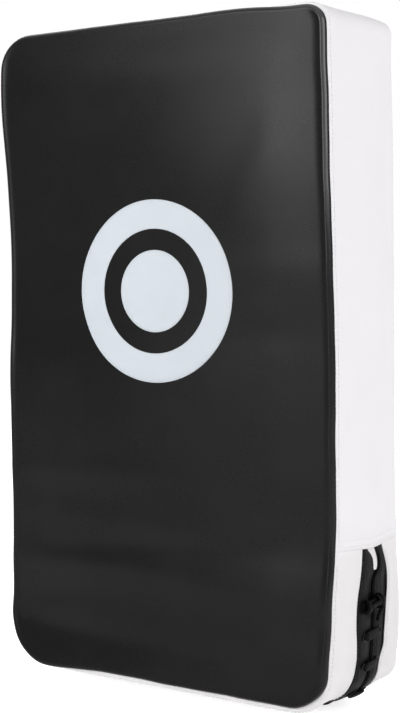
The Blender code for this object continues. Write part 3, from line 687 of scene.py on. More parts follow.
# White gusset, above and below the lap seam
lap = {
    # height of the lap seam at each depth
    "seam": [(0.009, 0.1362), (0.030, 0.1340), (0.058, 0.1306), (0.072, 0.1290), (0.088, 0.1288),
             (0.105, 0.1300), (0.1366, 0.1312)],
    "hem": 0.011,               # height of the doubled edge above the seam
    "overlap": 0.006,           # the legs run on under the hem by this
    "stand": 0.0009,            # the hem stands out by this
}
closure = {
    # depth of each edge of the two black facings at each height
    "frontEdge": [(0.0, 0.0520), (0.009, 0.0530), (0.018, 0.0530), (0.025, 0.0548), (0.036, 0.0581),
                  (0.0485, 0.0578), (0.062, 0.0557), (0.075, 0.0548), (0.0875, 0.0561), (0.0995, 0.0593),
                  (0.112, 0.0619), (0.125, 0.0625), (0.140, 0.0625)],
    "slitFront": [(0.0, 0.0722), (0.015, 0.0738), (0.030, 0.0785), (0.060, 0.0812), (0.068, 0.0812),
                  (0.076, 0.0785), (0.084, 0.0752), (0.094, 0.0755), (0.101, 0.0800), (0.107, 0.0850),
                  (0.114, 0.0849), (0.121, 0.0816), (0.128, 0.0723), (0.140, 0.0640)],
    "slitRear": [(0.0, 0.0752), (0.015, 0.0768), (0.030, 0.0816), (0.060, 0.0845), (0.084, 0.0836),
                 (0.095, 0.0836), (0.101, 0.0855), (0.107, 0.0925), (0.114, 0.0938), (0.120, 0.0916),
                 (0.128, 0.0862), (0.140, 0.0800)],
    "rearEdge": [(0.0, 0.0895), (0.014, 0.0920), (0.019, 0.0945), (0.027, 0.0978), (0.037, 0.1028),
                 (0.050, 0.1034), (0.0635, 0.1043), (0.0765, 0.1054), (0.0895, 0.1077), (0.103, 0.1083),
                 (0.113, 0.1056), (0.118, 0.1034), (0.128, 0.0985), (0.140, 0.0930)],
    # the white draws in to meet the facings: how far, at the sides and below, and over which depth
    "sideTuck": 0.0012,
    "bottomTuck": 0.0004,
    "frontRise": 0.014,
    "rearRise": 0.011,
    "cornerSag": 0.0085,        # the facings hang lower by this beside the bottom corners
    "firstCrossing": 0.0575,    # along from the lap seam
    "crossings": 19,            # bars of the lace
    "rearLead": 0.0010,         # the rear end of a bar lies this much nearer to the lap seam
    # depth of each row of eyelets at each height
    "frontEyelets": [(0.0, 0.0630), (0.012, 0.0645), (0.030, 0.0680), (0.050, 0.0685), (0.080, 0.0668)],
    "rearEyelets": [(0.0, 0.0830), (0.012, 0.0850), (0.030, 0.0915), (0.050, 0.0942), (0.080, 0.0960)],
}
gusset = {
    "count": 250,               # rows round the upper gusset
    "legCount": 210,
    "seamTurn": 0.0012,         # the white turns in by this where it enters the seam
    "edgeTurn": 0.0013,         # and by this under a facing
    "lip": 0.0006,              # it swells by this beside a facing
    "puff": 0.0012,
}


def gussetTuck(along):
    return strikeTuck(along) + pad["seamGroove"]


def gussetWaves(along, depth):   # slight slackness of the white leather
    return 0.0006 * ripples(along, depth * 1.6, 0.09, 21) + 0.0010 * ripples(along, depth * 0.6, 0.30, 8)


def rearSection(count=8):   # depth and inset round the rear edge, into the seam of the back panel
    turns = np.linspace(0, pi / 2, count)
    roll = pad["rearRoll"]
    depths = pad["depth"] - roll + roll * np.sin(turns)
    insets = roll * (1 - np.cos(turns))
    return np.append(depths, pad["depth"] - 0.0022), np.append(insets, roll + 0.0014)


def frontDepths(count=9):   # from inside the seam groove out over the belly's rise
    depths = pad["seamDepth"] + 0.0002 + np.linspace(0, 1, count) * pad["bellyRise"]
    return np.insert(depths, 0, depths[0] + 0.0012)


def turnIntoSeam(inset, along, count=9):   # the insets that belong to the front depths
    shares = np.linspace(0, 1, count)
    fall = 1 - np.sqrt(np.clip(1 - (1 - shares) ** 2, 0, 1))
    tuck = gussetTuck(along)
    inset[:, 0] = tuck[:, 0] + gusset["seamTurn"]
    inset[:, 1:count + 1] = tuck[:, 1:count + 1] * fall[None]


def freeInside(shape, first, last):   # freedom over a grid, with its first and last columns sewn
    rows, columns = np.indices(shape)
    sides = softStep((columns - first + 1) / 5) * softStep((shape[1] - last - columns) / 5)
    ends = softStep((rows - 3) / 8) * softStep((shape[0] - 4 - rows) / 8)
    return (sides * ends).ravel()


def makeGusset(name, along, depth, inset, node, freedom=None):
    piece = turnOutward(gridPiece(name, onPad(along, depth, inset), finishes["gusset"]), padMiddle)
    if freedom is not None:
        puff(piece, freedom, pressure=2.0, most=gusset["puff"])
    thicken(piece, pad["leather"])
    return settle(piece, "root", node)


def makeUpperGusset():
    fronts = frontDepths()
    rears, rearInsets = rearSection()
    flat = np.linspace(fronts[-1], pad["depth"] - pad["rearRoll"], 17)[1:-1]
    depths = np.concatenate([fronts, flat, rears])
    right, left = [sideAlong(smoothLine(lap["seam"], depths), hand) for hand in (1, -1)]
    share = np.linspace(0, 1, gusset["count"])
    eased = share + 0.02 * np.sin(2 * pi * share) / (2 * pi)
    along = right[None] + eased[:, None] * (left + outline["length"] - right)[None]
    depth = np.broadcast_to(depths, along.shape)
    inset = np.zeros(along.shape)
    turnIntoSeam(inset, along)
    inset[:, -len(rears):] = rearInsets
    loose = softStep((depth - 0.02) / 0.03) * softStep((pad["depth"] - 0.004 - depth) / 0.03)
    inset = inset - loose * gussetWaves(along, depth)
    above = onPad(along, depth, inset)[..., 2] - smoothLine(lap["seam"], depth)
    onSide = np.abs(outlineAt(along)[3]) < 0.5
    hem = onSide * (1 - softStep((above - lap["hem"]) / 0.003)) * softStep((depth - 0.008) / 0.006)
    inset = inset - lap["stand"] * hem * softStep((pad["depth"] - depth) / 0.01)
    return makeGusset("upper_gusset_cover", along, depth, inset, "upper_gusset",
                      freeInside(along.shape, len(fronts), len(rears)))


def underShare(along):   # 1 under the pad, 0 at its sides
    return softStep((-outlineAt(along)[3] - 0.62) / 0.38)


def closureTuck(along):
    return closure["sideTuck"] + (closure["bottomTuck"] - closure["sideTuck"]) * underShare(along)


def closureSag(along):   # the facings and the lace hang a little lower beside the corners
    return closure["cornerSag"] * bump(np.abs(outlineAt(along)[0]), 0.130, 0.022) * underShare(along)


def legAlongs(depth):   # rows of distances whose ends tuck up under the lap seam
    top = smoothLine(lap["seam"], depth) + lap["overlap"]
    right, left = sideAlong(top, 1), sideAlong(top, -1)
    return right[None] + np.linspace(0, 1, gusset["legCount"])[:, None] * (left - right)[None]


def legInset(along, fromEdge, rise):   # the white draws in towards a facing
    lip = gusset["lip"] * bump(fromEdge, 0.004, 0.003)
    return closureTuck(along) * (1 - softStep(fromEdge / rise)) - lip


def makeFrontLeg():
    fronts = frontDepths()
    shares = np.linspace(0, 1, 12)[1:]
    along = legAlongs(np.concatenate([fronts, np.full(len(shares) + 1, 0.05)]))
    edge = smoothLine(closure["frontEdge"], heightAt(along[:, -1]))[:, None]
    body = fronts[-1] + shares[None] * (edge - fronts[-1])
    depth = np.concatenate([np.broadcast_to(fronts, (len(edge), len(fronts))), body, edge - 0.0010], axis=1)
    inset = legInset(along, edge - depth, closure["frontRise"])
    turnIntoSeam(inset, along)
    inset[:, -1] += gusset["edgeTurn"]
    loose = softStep((depth - 0.015) / 0.02) * softStep((edge - depth) / 0.01)
    inset = inset - loose * gussetWaves(along, depth)
    return makeGusset("front_leg_gusset", along, depth, inset, "lower_gusset_front",
                      freeInside(along.shape, len(fronts), 4))


def makeRearLeg():
    rears, rearInsets = rearSection()
    shares = np.linspace(0, 1, 9)[:-1]
    along = legAlongs(np.full(len(shares) + 1 + len(rears), 0.118))
    edge = smoothLine(closure["rearEdge"], heightAt(along[:, 0]))[:, None]
    body = edge + shares[None] * (pad["depth"] - pad["rearRoll"] - edge)
    depth = np.concatenate([edge + 0.0010, body, np.broadcast_to(rears, (len(edge), len(rears)))], axis=1)
    inset = legInset(along, depth - edge, closure["rearRise"])
    inset[:, -len(rears):] = rearInsets
    inset[:, 0] += gusset["edgeTurn"]
    loose = softStep((depth - edge) / 0.01) * softStep((pad["depth"] - 0.004 - depth) / 0.02)
    inset = inset - loose * gussetWaves(along, depth)
    return makeGusset("rear_leg_gusset", along, depth, inset, "lower_gusset_rear")


upperGusset = makeUpperGusset()
frontLeg = makeFrontLeg()
rearLeg = makeRearLeg()
print("gussets made")


# Laced closure
# edges: two depth lines over the height; insets: (share, extra inset, share of the sag) across the strip
def closureStrip(name, edges, insets, top, node, wall=0.0012):
    shares, extra, sagging = np.array(insets).T
    along = np.linspace(sideAlong(top, 1), sideAlong(top, -1), 230)[:, None] + 0 * shares
    height = heightAt(along[:, 0])
    first, second = [smoothLine(closure[key], height)[:, None] + shift for key, shift in edges]
    depth = first + shares[None] * (second - first)
    inset = closureTuck(along) + extra[None] - closureSag(along) * sagging[None]
    piece = turnOutward(gridPiece(name, onPad(along, depth, inset), finishes["closure"]), padMiddle)
    thicken(piece, wall)
    return settle(piece, "root", node)


def makeFacings():
    under = 0.0018
    front = closureStrip("front_facing", (("frontEdge", -0.006), ("slitFront", 0)),
                         [(0.0, under, 0), (0.10, under, 0), (0.18, 0.0014, 0), (0.24, 0.0006, 0.15),
                          (0.36, -0.0002, 0.8), (0.55, -0.0006, 1), (0.75, -0.0006, 1), (0.90, -0.0003, 1),
                          (0.97, 0.0002, 1), (1.0, 0.0011, 1)], 0.136, "lace_facing_front")
    rear = closureStrip("rear_facing", (("slitRear", 0), ("rearEdge", 0.006)),
                        [(0.0, 0.0011, 1), (0.04, 0.0002, 1), (0.12, -0.0004, 1), (0.30, -0.0008, 1),
                         (0.50, -0.0006, 0.7), (0.64, 0.0002, 0.1), (0.71, 0.0012, 0), (0.80, under, 0),
                         (1.0, under, 0)], 0.138, "lace_facing_rear")
    closureStrip("closure_tongue", (("slitFront", -0.0125), ("slitRear", 0.0125)),
                 [(0.0, 0.0034, 1), (0.2, 0.0032, 1), (0.4, 0.0020, 1), (0.5, 0.0014, 1), (0.6, 0.0016, 1),
                  (0.8, 0.0032, 1), (1.0, 0.0034, 1)], 0.1125, "lace_tongue", wall=0.001)
    return front, rear


def makeTabs():   # the white tab of the upper gusset between the two legs, on each side
    top, foot, curl = 0.136, 0.1065, 0.0030
    drop = np.linspace(0, 1, 16)[:, None]
    across = np.linspace(-1, 1, 9)[None]
    height = top - drop * (top - foot) - curl * drop ** 4 * (1 - across ** 2) + curl * drop ** 4
    depth = 0.0790 + 0.0115 * drop + (0.0095 - 0.0035 * drop ** 3) * across
    for hand, side in ((1, "right"), (-1, "left")):
        along = sideAlong(height, hand)
        inset = closureTuck(along) + 0.0019 - 0.0005 * (1 - across ** 2)
        tab = gridPiece("gusset_tab_" + side, onPad(along, depth, inset), finishes["gusset"])
        thicken(turnOutward(tab, padMiddle), 0.001)
        settle(tab, "root")


facings = makeFacings()
makeTabs()
print("closure made")


# Rows of stitches and eyelet rims, by geometry nodes
def makeTree(name, sizes):
    tree = bpy.data.node_groups.new(name, "GeometryNodeTree")
    given = {"Geometry": "Geometry", **{label: "Int" if isinstance(size, int) else "Float"
                                        for label, size in sizes.items()}, "Finish": "Material"}
    for label, kind in given.items():
        socket = tree.interface.new_socket(label, in_out="INPUT", socket_type="NodeSocket" + kind)
        if label in sizes:
            socket.default_value = sizes[label]
    tree.interface.new_socket("Geometry", in_out="OUTPUT", socket_type="NodeSocketGeometry")
    return tree, put(tree, "NodeGroupInput").outputs


def named(tree, name):   # a direction that each point carries
    return put(tree, "GeometryNodeInputNamedAttribute", {"data_type": "FLOAT_VECTOR"}, {"Name": name})


def circle(tree, sides, radius):
    return put(tree, "GeometryNodeCurvePrimitiveCircle", None, {"Resolution": sides, "Radius": radius})


def swept(tree, ring, profile):
    return put(tree, "GeometryNodeCurveToMesh", None, {"Curve": ring, "Profile Curve": profile})


def placeCopies(tree, given, points, shape, tangent, scale=(1.0, 1.0, 1.0)):
    turn = put(tree, "FunctionNodeAlignRotationToVector", {"axis": "X"}, {"Vector": tangent})
    turn = put(tree, "FunctionNodeAlignRotationToVector", {"axis": "Z", "pivot_axis": "X"},
               {"Rotation": turn, "Vector": named(tree, "outward")})
    copies = put(tree, "GeometryNodeInstanceOnPoints", None,
                 {"Points": points, "Instance": shape, "Rotation": turn, "Scale": scale})
    real = put(tree, "GeometryNodeRealizeInstances", None, {"Geometry": copies})
    smooth = put(tree, "GeometryNodeSetShadeSmooth", None, {"Geometry": real})
    finished = put(tree, "GeometryNodeSetMaterial", None, {"Geometry": smooth, "Material": given["Finish"]})
    put(tree, "NodeGroupOutput", None, {0: finished})
    return tree


def makeStitchTree():
    tree, given = makeTree("stitchRow", {"Pitch": 0.0035, "Length": 0.0027, "Thread": 0.0007, "Seed": 3})
    curve = put(tree, "GeometryNodeMeshToCurve", None, {0: given["Geometry"]})
    spaced = put(tree, "GeometryNodeResampleCurve", {"mode": "LENGTH"},
                 {"Curve": curve, "Length": given["Pitch"]})
    bead = put(tree, "GeometryNodeMeshUVSphere", None, {"Segments": 6, "Rings": 4, "Radius": 0.5})
    uneven = put(tree, "FunctionNodeRandomValue", {"data_type": "FLOAT"},
                 {2: 0.88, 3: 1.08, "Seed": given["Seed"]}).outputs[1]
    length = put(tree, "ShaderNodeMath", {"operation": "MULTIPLY"}, {0: given["Length"], 1: uneven})
    scale = put(tree, "ShaderNodeCombineXYZ", None, {0: length, 1: given["Thread"], 2: given["Thread"]})
    return placeCopies(tree, given, spaced, bead, put(tree, "GeometryNodeInputTangent"), scale)


def makeRimTree():
    tree, given = makeTree("eyeletRim", {"Radius": 0.0034, "Bead": 0.0010})
    rim = swept(tree, circle(tree, 20, given["Radius"]), circle(tree, 8, given["Bead"]))
    flat = put(tree, "GeometryNodeTransform", None, {"Geometry": rim, "Scale": (1.0, 1.0, 0.6)})
    return placeCopies(tree, given, given["Geometry"], flat, named(tree, "run"))


stitchTree = makeStitchTree()
rimTree = makeRimTree()


# rows: (points, outward) for each line; values: what the tree is given; runs: each point's own direction
def runTree(name, rows, tree, values, runs=None):
    corners, outward = [np.concatenate(parts) for parts in zip(*rows)]
    edges, start = [], 0
    for points, _ in rows:
        edges += [(start + i, start + i + 1) for i in range(len(points) - 1)]
        start += len(points)
    data = bpy.data.meshes.new(name + "_rows")
    data.from_pydata([tuple(corner) for corner in corners], edges if runs is None else [], [])
    for label, vectors in {"outward": outward, "run": runs}.items():
        if vectors is not None:
            attribute = data.attributes.new(label, "FLOAT_VECTOR", "POINT")
            attribute.data.foreach_set("vector", np.ascontiguousarray(vectors, np.float32).ravel())
    rowsObject = link(name + "_rows", data)
    modifier = addModifier(rowsObject, "NODES", "rows", node_group=tree)
    for item in tree.interface.items_tree:
        if item.item_type == "SOCKET" and item.in_out == "INPUT" and item.name in values:
            modifier[item.identifier] = values[item.name]
    graph = bpy.context.evaluated_depsgraph_get()
    made = bpy.data.meshes.new_from_object(rowsObject.evaluated_get(graph), depsgraph=graph)
    bpy.data.objects.remove(rowsObject)
    made.name = name
    return link(name, made)


def surfaceOf(*pieces):   # what stitches and prints are seated on
    graph = bpy.context.evaluated_depsgraph_get()
    shape = bmesh.new()
    for piece in pieces:
        shape.from_mesh(piece.evaluated_get(graph).to_mesh())
    surface = BVHTree.FromBMesh(shape)
    shape.free()
    return surface


def seat(surface, points, outward, lift=0.0002):   # points moved along outward, onto a surface
    seated = []
    for point, away in zip(np.asarray(points, float), np.asarray(outward, float)):
        start = Vector(point) + Vector(away) * 0.02
        hit = surface.ray_cast(start, -Vector(away), 0.05)[0]
        seated.append((hit if hit else Vector(point)) + Vector(away) * lift)
    return np.array(seated)


def facingY(hand, count):   # the same direction, along Y, for each of some points
    return np.tile((0.0, float(hand), 0.0), (count, 1))


def padRow(surface, along, depth, inset, lift=0.0002):
    along, depth, inset = np.broadcast_arrays(along, depth, inset)
    outward = outwardAt(along)
    return seat(surface, onPad(along, depth, inset), outward, lift), outward


thread = {
    "top": {"Pitch": 0.0036, "Length": 0.0030, "Thread": 0.0007, "Seed": 3},
    "fine": {"Pitch": 0.0030, "Length": 0.0024, "Thread": 0.0007, "Seed": 7},
    "seamIn": 0.0046,           # a row lies this far behind the seam of the strike leather
    "hemRises": (0.0030, 0.0085),   # two rows above the lap seam
    # how far each row lies behind an edge of the facings
    "whiteRows": (("frontEdge", -0.0028), ("rearEdge", 0.0028)),
    "blackRows": (("slitFront", -0.0026), ("slitRear", 0.0026), ("frontEdge", 0.0022), ("rearEdge", -0.0022)),
}


def sewRows(name, rows, finish, size="top", body="root"):
    return settle(runTree(name, rows, stitchTree, {**thread[size], "Finish": finishes[finish]}), body)


def closureRows(surface, under, edges):   # rows of stitches beside the edges of the facings
    return [padRow(surface, under, smoothLine(closure[key], heightAt(under)) + off, closureTuck(under))
            for key, off in edges]


def makeWhiteStitches():
    surface = surfaceOf(upperGusset)
    over = np.linspace(sideAlong(0.142, 1), outline["length"] + sideAlong(0.142, -1), 420)
    seamRow = pad["seamDepth"] + thread["seamIn"]
    rearRow = pad["depth"] - pad["rearRoll"] + 0.004
    rows = [padRow(surface, over, depth, 0.001) for depth in (seamRow, rearRow)]
    depth = np.linspace(0.014, pad["depth"] - 0.010, 60)
    for hand in (1, -1):
        for rise in thread["hemRises"]:
            rows.append(padRow(surface, sideAlong(smoothLine(lap["seam"], depth) + rise, hand), depth, 0.0))
    under = np.linspace(sideAlong(0.122, 1), sideAlong(0.122, -1), 260)
    surface = surfaceOf(frontLeg, rearLeg)
    rows.append(padRow(surface, under, seamRow, gussetTuck(under)))
    sewRows("white_stitches", rows + closureRows(surface, under, thread["whiteRows"]), "whiteThread")


def makeClosureStitches():
    under = np.linspace(sideAlong(0.118, 1), sideAlong(0.118, -1), 260)
    rows = closureRows(closureSurface, under, thread["blackRows"])
    sewRows("closure_stitches", rows, "blackThread", "fine")


closureSurface = surfaceOf(*facings)
makeWhiteStitches()
makeClosureStitches()
print("stitches made")


# Lace
lace = {
    "frontWidth": 0.0098,       # a bar is broad at its front end
    "rearWidth": 0.0070,
    "thickness": 0.0034,
    "neck": 0.0040,             # its width where it passes through an eyelet
    "cord": 0.0042,             # its width where it is wound into the knot
    "inside": -0.0028,          # how far out an inside run and a bar's ends lie
    "stand": 0.0014,            # and how far out a bar's shoulders lie
    "bulge": 0.0009,            # by this more at the middle of a bar
    "sides": 12,
    "flatness": 0.75,
    "rims": {"Radius": 0.0030, "Bead": 0.0009},
    # the knot: two turns round the first bar, the steps between them and the tail, in steps of rise,
    # depth and out. A turn has its start, end and count, then the base and size of each of the three
    "firstTurn": (-0.3, 1.0, 12, (0.0, 0.0042), (0.0672, 0.0034), (0.0026, 0.0030)),
    "betweenTurns": [(0.0006, 0.0755, 0.0058), (0.0012, 0.0805, 0.0060)],
    "secondTurn": (0.0, 1.35, 13, (0.0012, 0.0044), (0.0850, 0.0052), (0.0028, 0.0034)),
    "tail": [(-0.0030, 0.0895, 0.0064), (-0.0066, 0.0872, 0.0058), (-0.0105, 0.0862, 0.0048),
             (-0.0150, 0.0858, 0.0040)],
}


def crossingAlongs():
    first, last = [sideAlong(0.136, hand) - hand * closure["firstCrossing"] for hand in (1, -1)]
    return np.linspace(first, last, closure["crossings"])


def eyeletDepths(key, alongs):
    return smoothLine(closure[key], heightAt(alongs))


def sweepStrip(name, centres, across, outward, widths, thicknesses, finish, sides):
    turns = np.linspace(0, 2 * pi, sides, endpoint=False)
    ringX, ringZ = [np.sign(wave) * np.abs(wave) ** lace["flatness"] / 2
                    for wave in (np.cos(turns), np.sin(turns))]
    rings = (centres[:, None] + across[:, None] * (widths[:, None] * ringX[None])[..., None]
             + outward[:, None] * (thicknesses[:, None] * ringZ[None])[..., None])
    piece = closeEnds(gridPiece(name, rings, finish, closed=True), sides)
    shape = bmesh.new()
    shape.from_mesh(piece.data)
    layer = shape.loops.layers.uv.new("alongCord")
    run = np.concatenate([[0], np.cumsum(np.linalg.norm(np.diff(centres, axis=0), axis=1))])
    for face in shape.faces:
        columns = [loop.vert.index % sides for loop in face.loops]
        wraps = max(columns) - min(columns) > sides / 2 and len(columns) == 4
        for loop, column in zip(face.loops, columns):
            turned = column + (sides if wraps and column == 0 else 0)
            loop[layer].uv = (run[loop.vert.index // sides], turned / sides)
    shape.to_mesh(piece.data)
    shape.free()
    piece.data.shade_smooth()
    return piece


def laceLine():   # rows of along, depth, out and width over every bar and every inside run
    rows = []
    alongs = crossingAlongs()
    fronts, rears = [eyeletDepths(key, alongs) for key in ("frontEyelets", "rearEyelets")]
    neck, inside = lace["neck"], lace["inside"]
    for index, along in enumerate(alongs):
        front, rear = fronts[index], rears[index]
        rearAlong = along + closure["rearLead"] * (1 if along > 0 else -1)
        for share in np.linspace(0, 1, 15):
            hump = sin(pi * share)
            full = lace["frontWidth"] + (lace["rearWidth"] - lace["frontWidth"]) * share
            width = neck + (full - neck) * softStep(5 * min(share, 1 - share))
            out = inside + (lace["stand"] - inside + lace["bulge"] * hump) * min(1.0, hump ** 0.5 * 1.6)
            place = along + (rearAlong - along) * softStep(share)
            rows.append((place, front + (rear - front) * share, out, width))
        if index + 1 < len(alongs):
            for share in np.linspace(0, 1, 13)[1:-1]:
                place = rearAlong + (alongs[index + 1] - rearAlong) * share
                out = inside - 0.0006 * sin(pi * share)
                rows.append((place, rear + (fronts[index + 1] - rear) * share, out, neck))
    return np.array(rows).T


def knotLine():   # the lace's end is wound round its first bar twice and hangs down
    def wound(start, end, count, rise, depth, out):
        return [(rise[0] + rise[1] * sin(2 * pi * turn), depth[0] + depth[1] * turn,
                 out[0] + out[1] * cos(2 * pi * turn)) for turn in np.linspace(start, end, count)]

    rows = wound(*lace["firstTurn"]) + lace["betweenTurns"] + wound(*lace["secondTurn"]) + lace["tail"]
    run = np.arange(len(rows), dtype=float)
    fine = np.linspace(0, run[-1], 110)
    rise, depth, out = [smoothLine(list(zip(run, values)), fine) for values in zip(*rows)]
    return crossingAlongs()[0] + rise, depth, out, np.full(len(fine), lace["cord"])


def makeLace(name, line, node=None):
    along, depth, out, width = line
    centres = onPad(along, depth, closureTuck(along) - closureSag(along) - out)
    run = np.gradient(centres, axis=0)
    run /= np.linalg.norm(run, axis=1, keepdims=True)
    across = np.cross(run, outwardAt(along))
    across /= np.linalg.norm(across, axis=1, keepdims=True)
    thickness = lace["thickness"] * (1.1 - 0.25 * width / lace["frontWidth"])
    lifted = np.cross(across, run)
    made = sweepStrip(name, centres, across, lifted, width, thickness, finishes["lace"], lace["sides"])
    settle(made, "root", node)


def makeRims():
    rows = []
    alongs = crossingAlongs()
    for key, lead in (("frontEyelets", 0.0), ("rearEyelets", closure["rearLead"])):
        places = alongs + lead * np.sign(alongs)
        rows.append(padRow(closureSurface, places, eyeletDepths(key, alongs), closureTuck(places), 0.0001))
    settle(runTree("eyelet_rims", rows, rimTree, {**lace["rims"], "Finish": finishes["rim"]},
                   facingY(1, 2 * len(alongs))), "root")


makeLace("closure_lace", laceLine(), "lace")
makeLace("lace_knot", knotLine())
makeRims()
print("lace made")


# Printed target
target = {
    "centre": (-0.0040, 0.3560),
    "ring": (0.0563, 0.0830),
    "disc": (0.0, 0.0374),
    "film": 0.0005,
    "sunk": 0.0001,             # the film starts this far inside the leather
    "bevel": 0.0005,
    "wall": 0.0007,
    "sides": 128,
}


def makeFilm(name, radii, node):
    inner, outer = radii
    start, following = (inner + target["bevel"], inner + 0.002) if inner else (0.002, 0.005)
    steps = max(3, int((outer - inner) / 0.0045))
    places = [start, *np.linspace(following, outer - target["bevel"], steps)]
    lifts = [target["film"]] * len(places)
    if inner:
        places, lifts = [inner, *places], [0.0, *lifts]
    radius = np.array([*places, outer])[:, None]
    turns = np.linspace(0, 2 * pi, target["sides"], endpoint=False)[None]
    x = target["centre"][0] + radius * np.cos(turns)
    z = target["centre"][1] + radius * np.sin(turns)
    points = np.stack([x, np.full(x.shape, faceY), z], axis=-1).reshape(-1, 3)
    seated = seat(surfaceOf(strikeCover), points, facingY(-1, len(points)), 0.0).reshape(*x.shape, 3)
    seated[..., 1] -= np.array([*lifts, 0.0])[:, None] - target["sunk"]
    film = gridPiece(name, seated, finishes["film"], closed=True)
    if not inner:
        closeEnds(film, target["sides"], ends=1)
    turnOutward(film, padMiddle)
    thicken(film, target["wall"], smooth=False)
    film.data.shade_smooth()
    settle(film, "root", node)


makeFilm("target_ring_print", target["ring"], "target_ring")
makeFilm("target_disc_print", target["disc"], "target_disc")
print("target made")


# Foam inside the cover
foam = {
    "gap": 0.0006,
    "between": 0.0004,
    "frontEnd": 0.041,
    "coreEnd": 0.109,
    "cells": (26, 44),
    "edge": 0.0008,             # radius of an edge that lies on another layer
    "coreInset": 0.006,
}


def makeFoamBlock(name, start, end, rounding, inset, kind, node):   # rounding: at the front and at the back
    stations = ringStations(*foam["cells"])
    base = strikeTuck(stations) + inset
    front, rear = rounding
    turns = np.linspace(0, pi / 2, 5)
    rings = [(end - rear * (1 - cos(turn)), base + rear * (1 - sin(turn))) for turn in turns]
    rings += [(start + front * (1 - sin(turn)), base + front * (1 - cos(turn))) for turn in turns]
    block = padSkin(name, rings, foam["cells"], finishes[kind + "Foam"], rearCap=True)
    settle(block, "root", node)


def makeFoams():
    wall = pad["leather"] + foam["gap"]
    edge, layer = foam["edge"], wall + 0.0008
    makeFoamBlock("front_foam", wall + 0.0022, foam["frontEnd"], (0.006, edge),
                  layer, "sheet", "front_foam_sheet")
    makeFoamBlock("core_foam", foam["frontEnd"] + foam["between"], foam["coreEnd"], (edge, edge),
                  wall + foam["coreInset"], "core", "core_foam_block")
    makeFoamBlock("rear_foam", foam["coreEnd"] + foam["between"], pad["depth"] - wall - 0.0006, (edge, 0.010),
                  layer, "sheet", "rear_foam_sheet")


makeFoams()
print("foam made")


# Back panel
backPanel = {
    "cells": (34, 58),
    # how far in front of the back, and how far inside the rear edge's radius, each ring lies
    "rings": [(0.0026, -0.0006), (0.0008, 0.0002), (0.0, 0.0010), (0.0, 0.0040)],
    "stitchIn": 0.0046,
}


def makeBackPanel():
    rings = [(pad["depth"] - off, pad["rearRoll"] + inset) for off, inset in backPanel["rings"]]
    panel = padSkin("back_panel", rings, backPanel["cells"], finishes["back"])
    thicken(panel, pad["leather"])
    settle(panel, "root", "back_cover")
    along = np.linspace(0, outline["length"], 700)
    points = onPad(along, np.full(len(along), pad["depth"]), pad["rearRoll"] + backPanel["stitchIn"])
    outward = facingY(1, len(points))
    sewRows("back_stitches", [(seat(surfaceOf(panel), points, outward), outward)], "blackThread")


makeBackPanel()
print("back panel made")


# Patches and tape on the back panel
patch = {
    "corner": 0.006,
    "tapeCorner": 0.003,
    "edge": 0.0009,             # radius of a patch's upper edge
    "stitchIn": 0.0028,
    "grooveHalf": 0.0006,       # the stitches draw a groove of this half width and depth
    "grooveDepth": 0.00025,
    "hooks": {"pitch": 0.0018, "height": 0.0006, "seed": 9},
    "loops": {"pitch": 0.0017, "height": 0.0007, "seed": 5},
    "pileMargin": 0.0022,
    "pileRoot": 0.0003,
}


def roundedRing(lowX, highX, lowZ, highZ, radius, inset, steps=6):
    ring = []
    for handX, handZ, start in ((1, -1, -pi / 2), (1, 1, 0.0), (-1, 1, pi / 2), (-1, -1, pi)):
        x = (highX if handX > 0 else lowX) - handX * radius
        z = (highZ if handZ > 0 else lowZ) - handZ * radius
        for turn in np.linspace(start, start + pi / 2, steps):
            ring.append((x + (radius - inset) * cos(turn), z + (radius - inset) * sin(turn)))
    return np.array(ring)


def patchRing(node, radius, inset, y):   # a ring of points inside a patch's outline
    low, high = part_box(node)
    flat = roundedRing(low.x, high.x, low.z, high.z, radius, inset)
    return np.stack([flat[:, 0], np.full(len(flat), y), flat[:, 1]], axis=-1)


def makePatch(name, node, finish, body="root", radius=patch["corner"], facing=1):
    low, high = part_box(node)
    edge, tall, row = patch["edge"], high.y - low.y, patch["stitchIn"]
    bottom = low.y if facing > 0 else high.y
    profile = [(0.0, 0.0003), (0.0, 0.0), (tall - edge, 0.0), (tall - 0.35 * edge, 0.25 * edge), (tall, edge),
               (tall, row - patch["grooveHalf"]), (tall - patch["grooveDepth"], row),
               (tall, row + patch["grooveHalf"]), (tall, radius - 0.0004)]
    rings = np.array([patchRing(node, radius, inset, bottom + facing * up) for up, inset in profile])
    piece = closeEnds(gridPiece(name, rings, finishes[finish], closed=True), rings.shape[1])
    piece.data.set_sharp_from_angle(angle=radians(50))
    return settle(piece, body, node)


def makePileTree(name, looped):
    tree, given = makeTree(name, {"Height": 0.0010})
    if looped:
        shape = swept(tree, circle(tree, 6, 0.5), circle(tree, 3, 0.12))
        shape = put(tree, "GeometryNodeTransform", None, {"Geometry": shape, "Rotation": (pi / 2, 0, 0)})
    else:
        shape = put(tree, "GeometryNodeMeshCone", None,
                    {"Vertices": 5, "Radius Top": 0.22, "Radius Bottom": 0.14, "Depth": 1.0})
    scale = put(tree, "ShaderNodeCombineXYZ", None, {axis: given["Height"] for axis in range(3)})
    return placeCopies(tree, given, given["Geometry"], shape, named(tree, "run"), scale)


